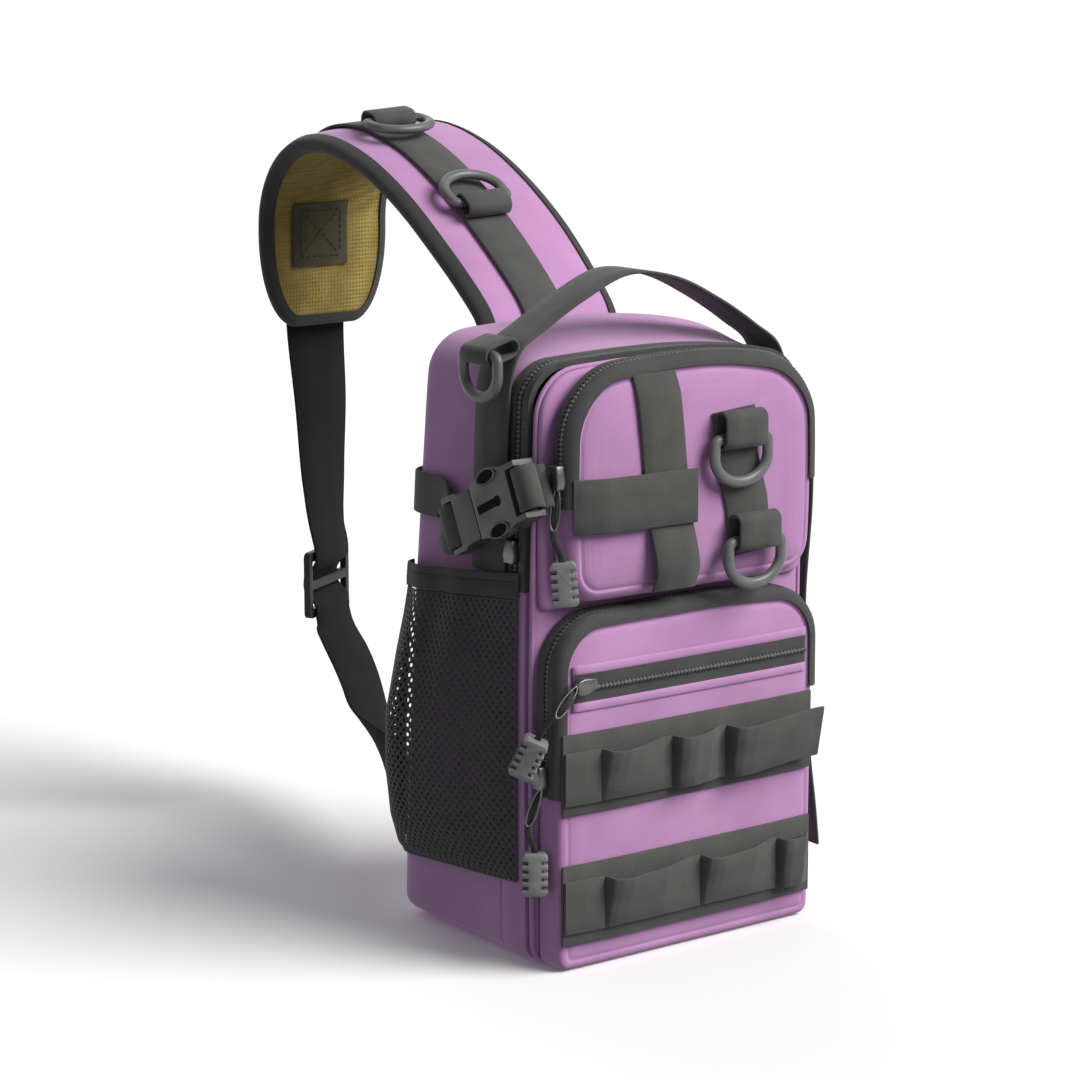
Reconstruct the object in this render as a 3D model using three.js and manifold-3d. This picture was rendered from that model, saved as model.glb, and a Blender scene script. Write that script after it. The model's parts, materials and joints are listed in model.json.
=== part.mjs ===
// A chest bag with two front pockets, a mesh side pocket, webbing ladders, D-rings and a shoulder pad.
import * as THREE from "three";
import { mergeVertices } from "three/addons/utils/BufferGeometryUtils.js";
import Module from "manifold-3d";

const wasm = await Module();
wasm.setup();

// Driving dimensions, in millimetres. While the bag is laid out, x runs across its front to the right,
// y from the front towards the wearer, and z up from the base. The origin moves to the shoulder at the end.
const GAP = 0.3;
const WALL = 2.4;
const WEB = { thick: 1.6, slim: 20, narrow: 25, wide: 38 };
const BAG_HEIGHT = 284;
const BASE_DEPTH = 129;
const TOP_DEPTH = 104;

// Front outlines of the four pouches: half width, lowest and highest edge, corner radii,
// rise of the top edge at its middle, swell of the side edges and sag of the top on the right.
const OUTLINES = {
  main: { half: 80, low: -4, high: 283, topRadius: 20, lowRadius: 9, crown: 3, puff: 2, sag: 6 },
  front: { half: 78, low: -3, high: 280, topRadius: 20, lowRadius: 8, crown: 3, puff: 2, sag: 6 },
  yoke: { half: 78, low: 163, high: 280, topRadius: 20, lowRadius: 5, crown: 3, puff: 1.2, sag: 6 },
  upper: { half: 72, low: 167, high: 275, topRadius: 28, lowRadius: 16, crown: 3, puff: 1.5, sag: 6 },
  lower: { half: 76.5, low: -4.5, high: 159.5, topRadius: 24, lowRadius: 6, crown: 1, puff: 0.5, sag: 2 },
};
const CORNER_STEPS = 4;
const EDGE_STEPS = 2;
const STRIP_STEP = 6;

// Sections of the pouches from the mouth to the closed end: depth y and how far the outline is drawn in.
const MAIN_SECTIONS = [
  { y: 41, inset: 0 },
  { y: 116, inset: 0 },
  { y: 123, inset: 2 },
  { y: 127.3, inset: 6 },
  { y: BASE_DEPTH, inset: 13 },
];
const FRONT_SECTIONS = [
  { y: 21.7, inset: 0 },
  { y: 19.4, inset: 0 },
  { y: 18, inset: 0.8 },
  { y: 17.4, inset: 2.6 },
];
const YOKE_SECTIONS = [
  { y: 18.8, inset: 0.3 },
  { y: 15.6, inset: 0.3 },
  { y: 13.8, inset: 1.2 },
  { y: 13, inset: 4 },
];
const UPPER_SECTIONS = [
  { y: 12.7, inset: 1.5 },
  { y: 6, inset: 0 },
  { y: 1, inset: 0.8 },
  { y: -2.2, inset: 3.2 },
  { y: -4, inset: 7 },
  { y: -6.4, inset: 18 },
  { y: -7.4, inset: 34 },
];
const LOWER_SECTIONS = [
  { y: 17.1, inset: 0.6 },
  { y: 7, inset: 0 },
  { y: 2.6, inset: 0.3 },
  { y: 0.8, inset: 1.2 },
  { y: 0, inset: 3 },
  { y: -1.2, inset: 14 },
  { y: -2, inset: 34 },
];
// The main zip: two tapes with a coil standing in the groove between them.
const ZIP_SECTIONS = [
  { y: 22.3, inset: 0.4 },
  { y: 28.6, inset: 0.4 },
  { y: 29.4, inset: 1.5 },
  { y: 30.4, inset: 0.7 },
  { y: 32.6, inset: 0.7 },
  { y: 33.6, inset: 1.5 },
  { y: 34.4, inset: 0.4 },
  { y: 40.7, inset: 0.4 },
];
const GUSSET_SECTIONS = [
  { y: 22.3, inset: 0.4 },
  { y: 40.7, inset: 0.4 },
];
const ZIP_INNER_INSET = 2.9;
const MAIN_ZIP_END = 172;
const UPPER = { outline: OUTLINES.upper, sections: UPPER_SECTIONS };
const LOWER = { outline: OUTLINES.lower, sections: LOWER_SECTIONS };
const POCKET_ZIP = { thick: 1.8, upperEnd: 212, lowerEndLeft: 78, lowerEndRight: 110 };
const SLASH_ZIP = { z: 129, height: 14, thick: 1.2, left: -70, right: 70 };

// Webbing ladder on the lower pocket: height of each row, and the stand-off of its loops along x.
const LADDER_HIGH = { baseZ: 89.5, loopZ: 88, left: -76, right: 73 };
const LADDER_LOW = { baseZ: 28, loopZ: 27.5, left: -76, right: 73 };
const LADDER_HIGH_LOOPS = [
  { x: -76, lift: 0 },
  { x: -58, lift: 0 },
  { x: -53, lift: 6.5 },
  { x: -48, lift: 7.5 },
  { x: -34, lift: 4.5 },
  { x: -20, lift: 0 },
  { x: -16, lift: 0 },
  { x: -11, lift: 6.5 },
  { x: -6, lift: 7.5 },
  { x: 4, lift: 4.5 },
  { x: 13, lift: 0 },
  { x: 16, lift: 0 },
  { x: 22, lift: 7 },
  { x: 30, lift: 9 },
  { x: 54, lift: 8.5 },
  { x: 66, lift: 7.5 },
  { x: 70.5, lift: 8 },
];
const LADDER_LOW_LOOPS = [
  { x: -76, lift: 0 },
  { x: -56, lift: 0 },
  { x: -51, lift: 6.5 },
  { x: -46, lift: 7.5 },
  { x: -22, lift: 5 },
  { x: -3, lift: 0 },
  { x: 1, lift: 0 },
  { x: 6, lift: 6.5 },
  { x: 11, lift: 7.5 },
  { x: 32, lift: 5 },
  { x: 46, lift: 0 },
  { x: 49, lift: 0 },
  { x: 54, lift: 6.5 },
  { x: 62, lift: 6.5 },
  { x: 69, lift: 1 },
];

// Webbing on the upper pocket: the drop runs down with a slack lower end, the cross lies over it.
const DROP_WEB = [
  { z: 265, x: -25.5, lift: 0 },
  { z: 246, x: -24, lift: 0 },
  { z: 226, x: -22, lift: 0 },
  { z: 202, x: -19.5, lift: 0.6 },
  { z: 188, x: -17.5, lift: 4 },
  { z: 178, x: -16, lift: 4.6 },
  { z: 170, x: -16, lift: 2.2 },
];
const CROSS_WEB = [
  { x: -69, lift: 0.6 },
  { x: -57, lift: 2.6 },
  { x: -47, lift: 2.6 },
  { x: -13, lift: 3.4 },
  { x: -6, lift: 3.8 },
];
const CROSS_WEB_Z = 213;

// D-rings and the folded webbing that carries them.
const RING = { wire: 2.3, reach: 16, corner: 3.4, arm: 8, bow: 12.5, steps: 20, sides: 6 };
const SIDE_RING = { ...RING, reach: 13, bow: 11.5 };
const LOOP = { outer: 4.7, inner: 3.1, length: 8.6 };
const RING_WEB = [
  { z: 250, x: 18.5, lift: 0 },
  { z: 226, x: 20.5, lift: 0 },
  { z: 206, x: 26.5, lift: 0 },
  { z: 182, x: 29, lift: 0 },
];
const FRONT_RINGS = [
  { name: "front_ring_high", x: 19.5, z: 237 },
  { name: "front_ring_low", x: 28.5, z: 188.5 },
];

// Grab handle: a broad arch over the top with both ends run down the sides.
const HANDLE = { y: 51, steps: 32 };
const HANDLE_RUN = [
  { x: -83.3, z: 178 },
  { x: -83.3, z: 215 },
  { x: -83, z: 250 },
  { x: -81.5, z: 268 },
  { x: -76.5, z: 281 },
  { x: -62, z: 291 },
  { x: -40, z: 302 },
  { x: -15, z: 311.5 },
  { x: 10, z: 308.5 },
  { x: 40, z: 295.5 },
  { x: 62, z: 285 },
  { x: 76.5, z: 275.5 },
  { x: 81.5, z: 264 },
  { x: 83, z: 250 },
  { x: 83.3, z: 215 },
  { x: 83.3, z: 178 },
];
const SIDE_TAB = { x: -78.7, y: 49, z: 282.8, out: 12, drop: 3.5 };

// Mesh pocket on the left: height and stand-off from the side.
const MESH = { front: 26, back: 123, hemHeight: 12, wall: 1.2, hemWall: 2, folds: 3, rise: 7 };
const MESH_ROWS = [
  { z: 27, bulge: 0.2, fold: 0 },
  { z: 34, bulge: 9, fold: 0 },
  { z: 50, bulge: 17, fold: 0.3 },
  { z: 74, bulge: 22, fold: 0.7 },
  { z: 102, bulge: 23, fold: 1 },
  { z: 130, bulge: 17, fold: 1.3 },
  { z: 150, bulge: 11, fold: 1.2 },
  { z: 161.5, bulge: 8, fold: 0.8 },
];
const MESH_STEPS = 14;

// Side release buckle on the left, seen from outside: half thickness, and the bars at its two ends.
const BUCKLE = { x: -91.5, y: 31, z: 210.5, tilt: 25 };
const BUCKLE_BODY = { half: 5.5, plugHalf: 4.6, bar: 29, barHalf: 1.9, slot: 23.5 };
const SIDE_STRAP_Z = 207;

// Loose end of the strap on the right: height and distance from the middle.
const RIGHT_TAIL_Y = 30;
const RIGHT_TAIL = [
  { z: 214, x: 88.4 },
  { z: 196, x: 88.4 },
  { z: 150, x: 86 },
  { z: 110, x: 87.5 },
  { z: 70, x: 92 },
  { z: 40, x: 97 },
  { z: 22, x: 99.5 },
];

// Shoulder pad: a run of bends in the plane of symmetry, from the back panel over the shoulder to the tip.
const PAD = { x: 4, startZ: 238, width: 80, thick: 9, lining: 1.5, binding: 1.6 };
const PAD_TIP = { width: 36, length: 48 };
const PAD_ROLL = { slope: 0.07, from: 40, to: 110 };
const PAD_BENDS = [
  { length: 27, turn: 0, steps: 2 },
  { length: 26, turn: -51, steps: 6 },
  { length: 60, turn: -9, steps: 3 },
  { length: 45, turn: -10, steps: 3 },
  { length: 40, turn: -14, steps: 3 },
  { length: 28, turn: -17, steps: 3 },
  { length: 75, turn: -83.8, steps: 9 },
  { length: 52, turn: 0, steps: 7 },
];
const PAD_WEB = { from: 44, to: 250, aside: -6 };
const PAD_RINGS = [
  { name: "pad_ring_front", at: 114, sense: 1 },
  { name: "pad_ring_crest", at: 196, sense: -1 },
];
const PATCH = { size: 32, thick: 1.2, middle: 304, aside: -6 };

// Shoulder webbing below the pad, with its slider and the tab on the bag's lower left corner.
const SLIDER = { y: 315, z: 119, turn: 30, width: 47, length: 36, thick: 3.6, bar: 5, radius: 3 };
const SLIDER_WEAVE = [
  { along: -28, out: -1 },
  { along: -18, out: -3.2 },
  { along: -12.4, out: -3.2 },
  { along: -3.4, out: 3.6 },
  { along: 3.4, out: 3.6 },
  { along: 12.4, out: -3.4 },
  { along: 18.5, out: -3.6 },
  { along: 26, out: -5.2 },
];
const SLING_STEPS = 16;
const TWIST = { from: 0.2, leave: new THREE.Vector3(2, -30, -30), arrive: 50 };
const STRAP_TAB = { x: -62, y: 130, low: 16, high: 68, reach: 34, thick: 3, nose: 30, sewn: 41, tilt: 6 };

// Zip pulls: a slider, a doubled cord and a ribbed grip, each hung from the slider it moves.
const GRIP = { width: 12, length: 20, thick: 8, notches: 4, notchDeep: 3, notchHigh: 1.7, pitch: 3.9 };
const PULL_CORD_RADIUS = 1.6;
const PULL_PLAY = 1;
const SLIDER_BODY = { length: 11, wide: 8, narrow: 5, thick: 4.4 };

const finish = (color, roughness, metalness = 0) =>
  new THREE.MeshStandardMaterial({ color, roughness, metalness });
const PURPLE = finish(0xb47fb8, 0.85);
const WEBBING = finish(0x4b4b47, 0.9);
const SLING = finish(0x262927, 0.9);
const ZIP_TAPE = finish(0x333431, 0.8);
const NET = finish(0x2b2b28, 0.85);
const LINING = finish(0x5b4e28, 0.95);
const BINDING = finish(0x34342f, 0.9);
const PLASTIC = finish(0x3a3b3a, 0.5);
const RING_PLASTIC = finish(0x70716e, 0.5);
const RUBBER = finish(0x7d7e7b, 0.7);
const METAL = finish(0x8c8d8b, 0.4, 0.9);

const bag = new THREE.Group();
function addPiece(name, geometry, material) {
  const mesh = new THREE.Mesh(geometry, material);
  mesh.name = name;
  bag.add(mesh);
}

const point = (x, y, z) => new THREE.Vector3(x, y, z);
const UP = point(0, 0, 1);
const RIGHT = point(1, 0, 0);

// The bag is laid out at its base depth and grows shallower towards the top.
const BACK_SLOPE = (BASE_DEPTH - TOP_DEPTH) / BAG_HEIGHT;
const leanedPoint = (x, y, z) => point(x, y * (1 - (BACK_SLOPE * z) / BASE_DEPTH), z);
function leaned(geometry) {
  const places = geometry.getAttribute("position");
  for (let i = 0; i < places.count; i++) {
    places.setY(i, leanedPoint(places.getX(i), places.getY(i), places.getZ(i)).y);
  }
  return geometry;
}

// Joining and cutting of closed shapes.
function solidOf(geometry) {
  const bare = geometry.clone();
  for (const name of Object.keys(bare.attributes)) {
    if (name !== "position") bare.deleteAttribute(name);
  }
  const merged = mergeVertices(bare, 1e-4);
  const vertProperties = Float32Array.from(merged.getAttribute("position").array);
  const triVerts = Uint32Array.from(merged.getIndex().array);
  return new wasm.Manifold(new wasm.Mesh({ numProp: 3, vertProperties, triVerts }));
}
function geometryOf(solid) {
  const { vertProperties, triVerts } = solid.getMesh();
  const geometry = new THREE.BufferGeometry();
  geometry.setAttribute("position", new THREE.BufferAttribute(vertProperties, 3));
  geometry.setIndex(new THREE.BufferAttribute(triVerts, 1));
  return geometry;
}
const cut = (from, ...tools) =>
  geometryOf(tools.reduce((solid, tool) => solid.subtract(solidOf(tool)), solidOf(from)));
const fuse = (first, ...others) =>
  geometryOf(others.reduce((solid, other) => solid.add(solidOf(other)), solidOf(first)));
const common = (first, second) => geometryOf(solidOf(first).intersect(solidOf(second)));
function block(low, high) {
  const size = high.clone().sub(low);
  const middle = low.clone().add(high).multiplyScalar(0.5);
  return new THREE.BoxGeometry(size.x, size.y, size.z).translate(middle.x, middle.y, middle.z);
}

// A closed shape from its points and triangles, turned to face outwards.
function closedShape(points, index) {
  let volume = 0;
  for (let i = 0; i < index.length; i += 3) {
    const [a, b, c] = [points[index[i]], points[index[i + 1]], points[index[i + 2]]];
    volume += a.dot(b.clone().cross(c));
  }
  const facing = volume > 0 ? index : index.slice().reverse();
  const geometry = new THREE.BufferGeometry().setFromPoints(points);
  geometry.setIndex(facing);
  return geometry;
}

// Skins equal rings of points into a solid, capped at both ends or joined end to end. The two faces of a strip
// are split along the same diagonal, so that a twisted strip keeps its thickness.
const STRIP_SIDES = 4;
function skin(rings, joined = false) {
  const count = rings[0].length;
  const points = rings.flat();
  const index = [];
  const spans = joined ? rings.length : rings.length - 1;
  for (let r = 0; r < spans; r++) {
    const next = (r + 1) % rings.length;
    for (let i = 0; i < count; i++) {
      const j = (i + 1) % count;
      const corners = [r * count + i, r * count + j, next * count + j, next * count + i];
      if (count === STRIP_SIDES && i > 1) corners.push(corners.shift());
      index.push(corners[0], corners[1], corners[2], corners[0], corners[2], corners[3]);
    }
  }
  if (!joined) {
    for (const r of [0, rings.length - 1]) {
      const hub = points.length;
      points.push(rings[r].reduce((sum, p) => sum.add(p), point(0, 0, 0)).divideScalar(count));
      for (let i = 0; i < count; i++) {
        const rim = [r * count + i, r * count + ((i + 1) % count)];
        index.push(hub, ...(r ? rim : rim.reverse()));
      }
    }
  }
  return closedShape(points, index);
}

// Closes two equal grids of points, the two faces of a thin wall, into one solid.
function wallBetween(outer, inner) {
  const rows = outer.length;
  const columns = outer[0].length;
  const points = [...outer.flat(), ...inner.flat()];
  const at = (side, r, c) => side * rows * columns + r * columns + c;
  const index = [];
  const quad = (a, b, c, d) => index.push(a, b, c, a, c, d);
  for (let r = 0; r < rows - 1; r++) {
    for (let c = 0; c < columns - 1; c++) {
      quad(at(0, r, c), at(0, r, c + 1), at(0, r + 1, c + 1), at(0, r + 1, c));
      quad(at(1, r, c), at(1, r + 1, c), at(1, r + 1, c + 1), at(1, r, c + 1));
    }
    quad(at(0, r, 0), at(0, r + 1, 0), at(1, r + 1, 0), at(1, r, 0));
    quad(at(0, r, columns - 1), at(1, r, columns - 1), at(1, r + 1, columns - 1), at(0, r + 1, columns - 1));
  }
  for (let c = 0; c < columns - 1; c++) {
    quad(at(0, 0, c), at(1, 0, c), at(1, 0, c + 1), at(0, 0, c + 1));
    quad(at(0, rows - 1, c), at(0, rows - 1, c + 1), at(1, rows - 1, c + 1), at(1, rows - 1, c));
  }
  return closedShape(points, index);
}

// A strip of webbing along stations, each with its place and the direction of its width.
function strip(stations, width, thick) {
  const rings = stations.map(({ place, across }, i) => {
    const before = stations[Math.max(i - 1, 0)].place;
    const after = stations[Math.min(i + 1, stations.length - 1)].place;
    const along = after.clone().sub(before).normalize();
    const side = across.clone().addScaledVector(along, -across.dot(along)).normalize();
    const face = side.clone().cross(along).multiplyScalar(thick / 2);
    side.multiplyScalar(width / 2);
    const corner = (s, f) => place.clone().addScaledVector(side, s).addScaledVector(face, f);
    return [corner(1, 1), corner(-1, 1), corner(-1, -1), corner(1, -1)];
  });
  return skin(rings);
}

// Places a shape by its own three axes, the third following from the first two.
function placed(geometry, origin, first, second) {
  const third = first.clone().cross(second);
  return geometry.applyMatrix4(new THREE.Matrix4().makeBasis(first, second, third).setPosition(origin));
}

// The rounded outline of a pouch in the plane of its front, drawn in by the inset.
function outlinePoints({ half, low, high, topRadius, lowRadius, crown, puff, sag }, inset) {
  const side = half - inset;
  const [bottom, top] = [low + inset, high - inset];
  const [lowRound, topRound] = [Math.max(lowRadius - inset, 3), Math.max(topRadius - inset, 3)];
  const corners = [
    { x: side - topRound, z: top - topRound, radius: topRound, from: 0 },
    { x: -side + topRound, z: top - topRound, radius: topRound, from: 90 },
    { x: -side + lowRound, z: bottom + lowRound, radius: lowRound, from: 180 },
    { x: side - lowRound, z: bottom + lowRound, radius: lowRound, from: 270 },
  ];
  const arcPoint = ({ x, z, radius, from }, turn) => {
    const angle = THREE.MathUtils.degToRad(from + turn);
    return new THREE.Vector2(x + radius * Math.cos(angle), z + radius * Math.sin(angle));
  };
  const points = corners.flatMap((corner, i) => {
    const arc = Array.from({ length: CORNER_STEPS + 1 }, (_, k) => arcPoint(corner, (90 * k) / CORNER_STEPS));
    const start = arcPoint(corner, 90);
    const end = arcPoint(corners[(i + 1) % 4], 0);
    const between = (_, k) => start.clone().lerp(end, (k + 1) / EDGE_STEPS);
    const edge = Array.from({ length: EDGE_STEPS - 1 }, between);
    return [...arc, ...edge];
  });
  return points.map(({ x, y: z }) => {
    const height = THREE.MathUtils.clamp((z - bottom) / (top - bottom), 0, 1);
    const spread = 1 + (puff / half) * Math.sin(Math.PI * height);
    const slump = sag * height ** 4 * Math.max(x / side, 0) ** 2;
    return { x: x * spread, z: z + crown * height * (1 - (x / side) ** 2) - slump };
  });
}
const outlineRing = (outline, y, inset) => outlinePoints(outline, inset).map(({ x, z }) => point(x, y, z));

// The outside and the hollow of a pouch, which is open at its first section.
const CLEAR = 8;
function pouchSkins(outline, sections) {
  const mouth = sections[0].y;
  const inwards = Math.sign(mouth - sections.at(-1).y);
  const outer = sections.map(({ y, inset }) => outlineRing(outline, y, inset));
  const inner = sections.map(({ y, inset }, i) =>
    outlineRing(outline, i ? y + inwards * WALL : mouth + inwards * CLEAR, inset + WALL));
  return { outer: skin(outer), inner: skin(inner) };
}
function pouch(outline, sections) {
  const { outer, inner } = pouchSkins(outline, sections);
  return cut(outer, inner);
}

// A band that follows an outline all round, hollow through its middle.
function hoop(outline, sections) {
  const outer = sections.map(({ y, inset }) => outlineRing(outline, y, inset));
  const ends = [sections[0].y - CLEAR, sections.at(-1).y + CLEAR];
  const inner = ends.map((y) => outlineRing(outline, y, ZIP_INNER_INSET));
  return cut(skin(outer), skin(inner));
}

const FAR = 400;
const above = (z, left = -FAR, right = FAR) => block(point(left, -FAR, z), point(right, FAR, FAR));
const below = (z) => block(point(-FAR, -FAR, -FAR), point(FAR, FAR, z));

// Half width of the main shell at a depth, for what lies against its sides.
const middleSwell = (z) => Math.sin(Math.PI * THREE.MathUtils.clamp(z / BAG_HEIGHT, 0, 1));
function sideReach(y, z) {
  const rows = MAIN_SECTIONS;
  const i = Math.max(1, rows.findIndex((row) => row.y >= y));
  const share = THREE.MathUtils.clamp((y - rows[i - 1].y) / (rows[i].y - rows[i - 1].y), 0, 1);
  const inset = THREE.MathUtils.lerp(rows[i - 1].inset, rows[i].inset, share);
  return (OUTLINES.main.half - inset) * (1 + (OUTLINES.main.puff / OUTLINES.main.half) * middleSwell(z));
}

// Depth of a pocket's front at a place, and the foremost depth that a strip of some height meets there.
function faceDepth({ outline, sections }, x, z) {
  const aside = x / outline.half;
  const top = outline.high + outline.crown * (1 - aside ** 2) - outline.sag * Math.max(aside, 0) ** 2;
  const inset = Math.min(outline.half - Math.abs(x), top - z, z - outline.low);
  for (let i = sections.length - 2; i > 1; i--) {
    const [low, high] = [sections[i], sections[i + 1]];
    if (inset >= low.inset) {
      const share = Math.min((inset - low.inset) / (high.inset - low.inset), 1);
      return THREE.MathUtils.lerp(low.y, high.y, share);
    }
  }
  return sections[2].y;
}
const SHARES = [-0.5, 0, 0.5];
const foremost = (pocket, x, z, width, height) => Math.min(...SHARES.flatMap((across) =>
  SHARES.map((up) => faceDepth(pocket, x + across * width, z + up * height))));

// The zip of a pocket: a band over its rim, between two grown copies of the pocket.
function rimZip({ outline, sections }, front, back) {
  const grown = (amount) => skin(sections.map(({ y, inset }) =>
    outlineRing(outline, y - amount * Math.min(Math.max(inset, 0) / 6, 1), inset - amount)));
  const band = cut(grown(GAP + POCKET_ZIP.thick), grown(GAP));
  return common(band, block(point(-FAR, front, -FAR), point(FAR, back, FAR)));
}

// Pouches and their zips.
addPiece("main_shell", leaned(pouch(OUTLINES.main, MAIN_SECTIONS)), PURPLE);
addPiece("main_zipper", leaned(common(hoop(OUTLINES.main, ZIP_SECTIONS), above(MAIN_ZIP_END))), ZIP_TAPE);
const gusset = common(hoop(OUTLINES.main, GUSSET_SECTIONS), below(MAIN_ZIP_END - GAP));
addPiece("lower_gusset", leaned(gusset), PURPLE);
const panel = pouchSkins(OUTLINES.front, FRONT_SECTIONS);
const yoke = pouchSkins(OUTLINES.yoke, YOKE_SECTIONS);
addPiece("front_section", leaned(cut(fuse(panel.outer, yoke.outer), panel.inner, yoke.inner)), PURPLE);
addPiece("upper_pocket", leaned(pouch(UPPER.outline, UPPER.sections)), PURPLE);
addPiece("upper_zipper", leaned(common(rimZip(UPPER, -4, 7.5), above(POCKET_ZIP.upperEnd))), ZIP_TAPE);
addPiece("lower_pocket", leaned(pouch(LOWER.outline, LOWER.sections)), PURPLE);
const lowerZipReach = fuse(above(POCKET_ZIP.lowerEndLeft, -FAR, 0), above(POCKET_ZIP.lowerEndRight));
addPiece("lower_zipper", leaned(common(rimZip(LOWER, 0.2, 15), lowerZipReach)), ZIP_TAPE);

// Adds rows between those of a table, so that a strip follows a swelling front.
function refined(rows, column) {
  return rows.flatMap((row, i) => {
    if (i === 0) return [row];
    const before = rows[i - 1];
    const count = Math.max(1, Math.round(Math.abs(row[column] - before[column]) / STRIP_STEP));
    const value = (name, k) => THREE.MathUtils.lerp(before[name], row[name], (k + 1) / count);
    const between = (_, k) => Object.fromEntries(Object.keys(row).map((name) => [name, value(name, k)]));
    return Array.from({ length: count }, between);
  });
}

// Strips that lie on a pocket's front. The stand-off counts from the layer that they are sewn to.
function stripAcross(pocket, z, width, rows, thick, seat = { z, width, layer: 0 }) {
  const stations = refined(rows, "x").map(({ x, lift }) => {
    const face = foremost(pocket, x, seat.z, STRIP_STEP, seat.width) - GAP - seat.layer;
    return { place: point(x, face - thick / 2 - lift, z), across: UP };
  });
  return leaned(strip(stations, width, thick));
}
function stripDown(pocket, width, rows, thick) {
  const stations = refined(rows, "z").map(({ x, z, lift }) => ({
    place: point(x, foremost(pocket, x, z, width, STRIP_STEP) - GAP - thick / 2 - lift, z),
    across: RIGHT,
  }));
  return leaned(strip(stations, width, thick));
}
const flatRun = ({ left, right }) => [{ x: left, lift: 0 }, { x: right, lift: 0 }];

const slashZip = stripAcross(LOWER, SLASH_ZIP.z, SLASH_ZIP.height, flatRun(SLASH_ZIP), SLASH_ZIP.thick);
addPiece("slash_zipper", slashZip, ZIP_TAPE);
for (const [level, row, loops] of [
  ["high", LADDER_HIGH, LADDER_HIGH_LOOPS],
  ["low", LADDER_LOW, LADDER_LOW_LOOPS],
]) {
  const base = stripAcross(LOWER, row.baseZ, WEB.wide, flatRun(row), WEB.thick);
  addPiece(`ladder_base_${level}`, base, WEBBING);
  const seat = { z: row.baseZ, width: WEB.wide, layer: WEB.thick + 2 * GAP };
  const rungs = stripAcross(LOWER, row.loopZ, WEB.narrow, loops, WEB.thick, seat);
  addPiece(`ladder_loops_${level}`, rungs, WEBBING);
}
addPiece("drop_web", stripDown(UPPER, WEB.narrow, DROP_WEB, WEB.thick), WEBBING);
addPiece("cross_web", stripAcross(UPPER, CROSS_WEB_Z, WEB.narrow, CROSS_WEB, WEB.thick), WEBBING);

// Folded webbing round a bar. The bar lies at the origin along the third axis and is pulled along the first.
function foldedLoop(width) {
  const outline = (path, radius) => {
    path.absarc(0, 0, radius, -Math.PI / 2, Math.PI / 2);
    path.absarc(-LOOP.length, 0, radius, Math.PI / 2, (3 * Math.PI) / 2);
    path.closePath();
    return path;
  };
  const shape = outline(new THREE.Shape(), LOOP.outer);
  shape.holes.push(outline(new THREE.Path(), LOOP.inner));
  const options = { depth: width, bevelEnabled: false, curveSegments: 4 };
  return new THREE.ExtrudeGeometry(shape, options).translate(0, 0, -width / 2);
}

// A D-ring whose bar lies at the origin along the third axis; the ring hangs along the first.
function dRing({ wire, reach, corner, arm, bow, steps, sides } = RING) {
  const path = new THREE.Path();
  path.moveTo(corner - reach, 0);
  path.lineTo(reach - corner, 0);
  path.absarc(reach - corner, corner, corner, -Math.PI / 2, 0);
  path.absellipse(0, arm, reach, bow, 0, Math.PI);
  path.absarc(corner - reach, corner, corner, Math.PI, 1.5 * Math.PI);
  const places = path.getSpacedPoints(steps).slice(0, steps);
  const rings = places.map((place, i) => {
    const along = places[(i + 1) % steps].clone().sub(places[(i + steps - 1) % steps]).normalize();
    return Array.from({ length: sides }, (_, k) => {
      const angle = (2 * Math.PI * k) / sides;
      const [aside, out] = [wire * Math.cos(angle), wire * Math.sin(angle)];
      return point(place.y - along.x * aside, out, place.x + along.y * aside);
    });
  });
  return skin(rings, true);
}

// The two front rings on their slanting webbing.
const DOWN = point(0, 0, -1);
const FORWARD = point(0, -1, 0);
const BACKWARD = point(0, 1, 0);
const LOOP_SEAT = LOOP.outer - 0.4;
const frontBar = ({ x, z }) => {
  const face = foremost(UPPER, x, z, WEB.narrow, STRIP_STEP) - GAP - WEB.thick;
  return leanedPoint(x, face - LOOP_SEAT, z);
};
const frontLoops = FRONT_RINGS.map((ring) => placed(foldedLoop(WEB.narrow), frontBar(ring), DOWN, FORWARD));
addPiece("ring_web", fuse(stripDown(UPPER, WEB.narrow, RING_WEB, WEB.thick), ...frontLoops), WEBBING);
for (const ring of FRONT_RINGS) {
  addPiece(ring.name, placed(dRing(), frontBar(ring), DOWN, FORWARD), RING_PLASTIC);
}

// Grab handle: up the left side, over the top in a broad arch and down the right side.
const handleCurve = new THREE.CatmullRomCurve3(HANDLE_RUN.map(({ x, z }) => point(x, HANDLE.y, z)));
const handleRun = handleCurve.getPoints(HANDLE.steps).map((place) => ({ place, across: BACKWARD }));
addPiece("carry_web", leaned(strip(handleRun, WEB.narrow, WEB.thick)), WEBBING);

// Side ring: a folded tab sticking out of the left side of the handle, with the ring hanging from its fold.
const tabSeat = leanedPoint(SIDE_TAB.x, SIDE_TAB.y, SIDE_TAB.z);
const tabAlong = point(-SIDE_TAB.out, 0, -SIDE_TAB.drop).normalize();
const tabUp = point(-SIDE_TAB.drop, 0, SIDE_TAB.out).normalize();
const sideBar = tabSeat.clone().addScaledVector(tabAlong, LOOP.length + LOOP.outer);
addPiece("side_ring_tab", placed(foldedLoop(WEB.slim), sideBar, tabAlong, tabUp), WEBBING);
addPiece("side_ring", placed(dRing(SIDE_RING), sideBar, DOWN, point(-1, 0, 0)), RING_PLASTIC);

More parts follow.
